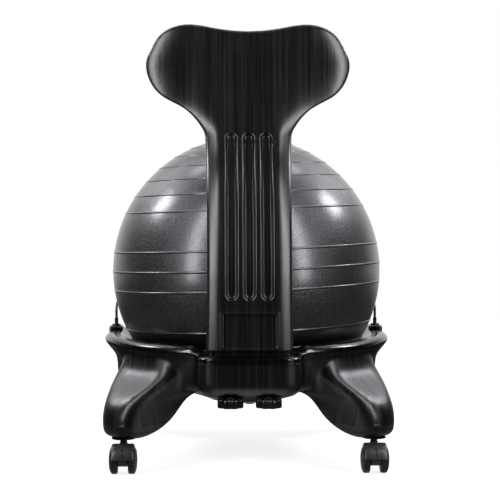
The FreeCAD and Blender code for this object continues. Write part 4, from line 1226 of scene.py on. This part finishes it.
# %% Glow of the sweep
BLOCK_CENTRE = (0, 0.37, 0)  # added, so that the distance counts from under the block
NEAR_STOPS = ((0.29, 0.35), (0.4, 0.12), (0.52, 0.03))
for_camera = ramp(tree, distance, 0.4, 0.95, 0.84, 1.0, ease=True)
near = ramp(tree, distance, 0.1, 1.0, 0.05, 0.012, NEAR_STOPS, ease=True)
off_block = maths(tree, "ADD", place, BLOCK_CENTRE, kind="VectorMath")
from_block = maths(tree, "LENGTH", off_block, kind="VectorMath")
under_block = ramp(tree, from_block, 0.07, 0.19, 1.0, 0.0)
far_back = maths(tree, "MULTIPLY_ADD", coordinate(tree, place, "Y"), 0.2, 0.2)
behind_chair = ramp(tree, far_back, 0.42, 0.95, 0.0, 0.9)
mirrored = maths(tree, "MAXIMUM", maths(tree, "MAXIMUM", near, under_block), behind_chair)
glow = maths(tree, "MAXIMUM", maths(tree, "MULTIPLY", seen_by["Is Camera Ray"], for_camera),
             maths(tree, "MULTIPLY", seen_by["Is Glossy Ray"], mirrored))
feed(tree, shader.inputs["Emission Strength"], glow)
print("nodes of the sweep:", len(tree.nodes))

# %% World
world = bpy.data.worlds.new("studio")
bpy.context.scene.world = world
world.use_nodes = True
tree = world.node_tree
tree.nodes.clear()
seen_by = tree.nodes.new("ShaderNodeLightPath").outputs
direction = tree.nodes.new("ShaderNodeTexCoord").outputs["Generated"]
room = tree.nodes.new("ShaderNodeBackground")
white = tree.nodes.new("ShaderNodeBackground")
choose = tree.nodes.new("ShaderNodeMixShader")
output = tree.nodes.new("ShaderNodeOutputWorld")
behind = ramp(tree, coordinate(tree, direction, "Y"), 0.5, 0.86, 0.024, 1.0)
feed(tree, room.inputs["Color"], behind)
feed(tree, white.inputs["Color"], (1, 1, 1, 1))
feed(tree, choose.inputs["Fac"], seen_by["Is Camera Ray"])
feed(tree, choose.inputs[1], room.outputs["Background"])
feed(tree, choose.inputs[2], white.outputs["Background"])
feed(tree, output.inputs["Surface"], choose.outputs["Shader"])
print("world:", world.name)

# %% [markdown]
# A pair of broad soft boxes with brighter cores stands high up before the chair, so that the
# ball mirrors them on both sides. Two strips behind the chair draw the lights on its stem and
# legs, two small boxes give the edges theirs, and one long lamp hangs over the chair.

# %% Lamps
# name, place on the right side, aim, width, height and power
PAIRED_LAMPS = [
    ("broad", (1.56, 1.14, 2.05), (0, 0, 0.35), 1.6, 1.6, 9),
    ("core", (1.53, 1.12, 2.01), (0, 0, 0.35), 0.8, 0.8, 2.5),
    ("strip", (0.86, -0.92, 1.0), (0, 0, 0.7), 0.22, 1.6, 19),
    ("key", (1.95, 0.42, 1.85), (0, 0, 0.35), 0.5, 0.6, 29),
]
COOL_WHITE = (0.95, 0.96, 1.0)


def soft_box(name, place, aim, width, height, power):
    lamp = bpy.data.lights.new(name, "AREA")
    lamp.shape = "RECTANGLE"
    lamp.size, lamp.size_y = width, height
    lamp.energy = power
    lamp.color = COOL_WHITE
    holder = bpy.data.objects.new(name, lamp)
    holder.location = place
    towards = Vector(aim) - Vector(place)
    holder.visible_camera = False
    holder.rotation_euler = towards.to_track_quat("-Z", "Y").to_euler()
    bpy.context.collection.objects.link(holder)


for side, name in ((-1, "left"), (1, "right")):
    for kind, (x, y, z), *rest in PAIRED_LAMPS:
        soft_box("%s_%s" % (kind, name), (side * x, y, z), *rest)
soft_box("lamp_over", (0, 0.75, 2.6), (0, 0.2, 0.3), 2.6, 0.4, 30)
bpy.context.scene.view_settings.view_transform = "Standard"

# %% [markdown]
# ## Finish

# %% Finish
bpy.context.view_layer.update()
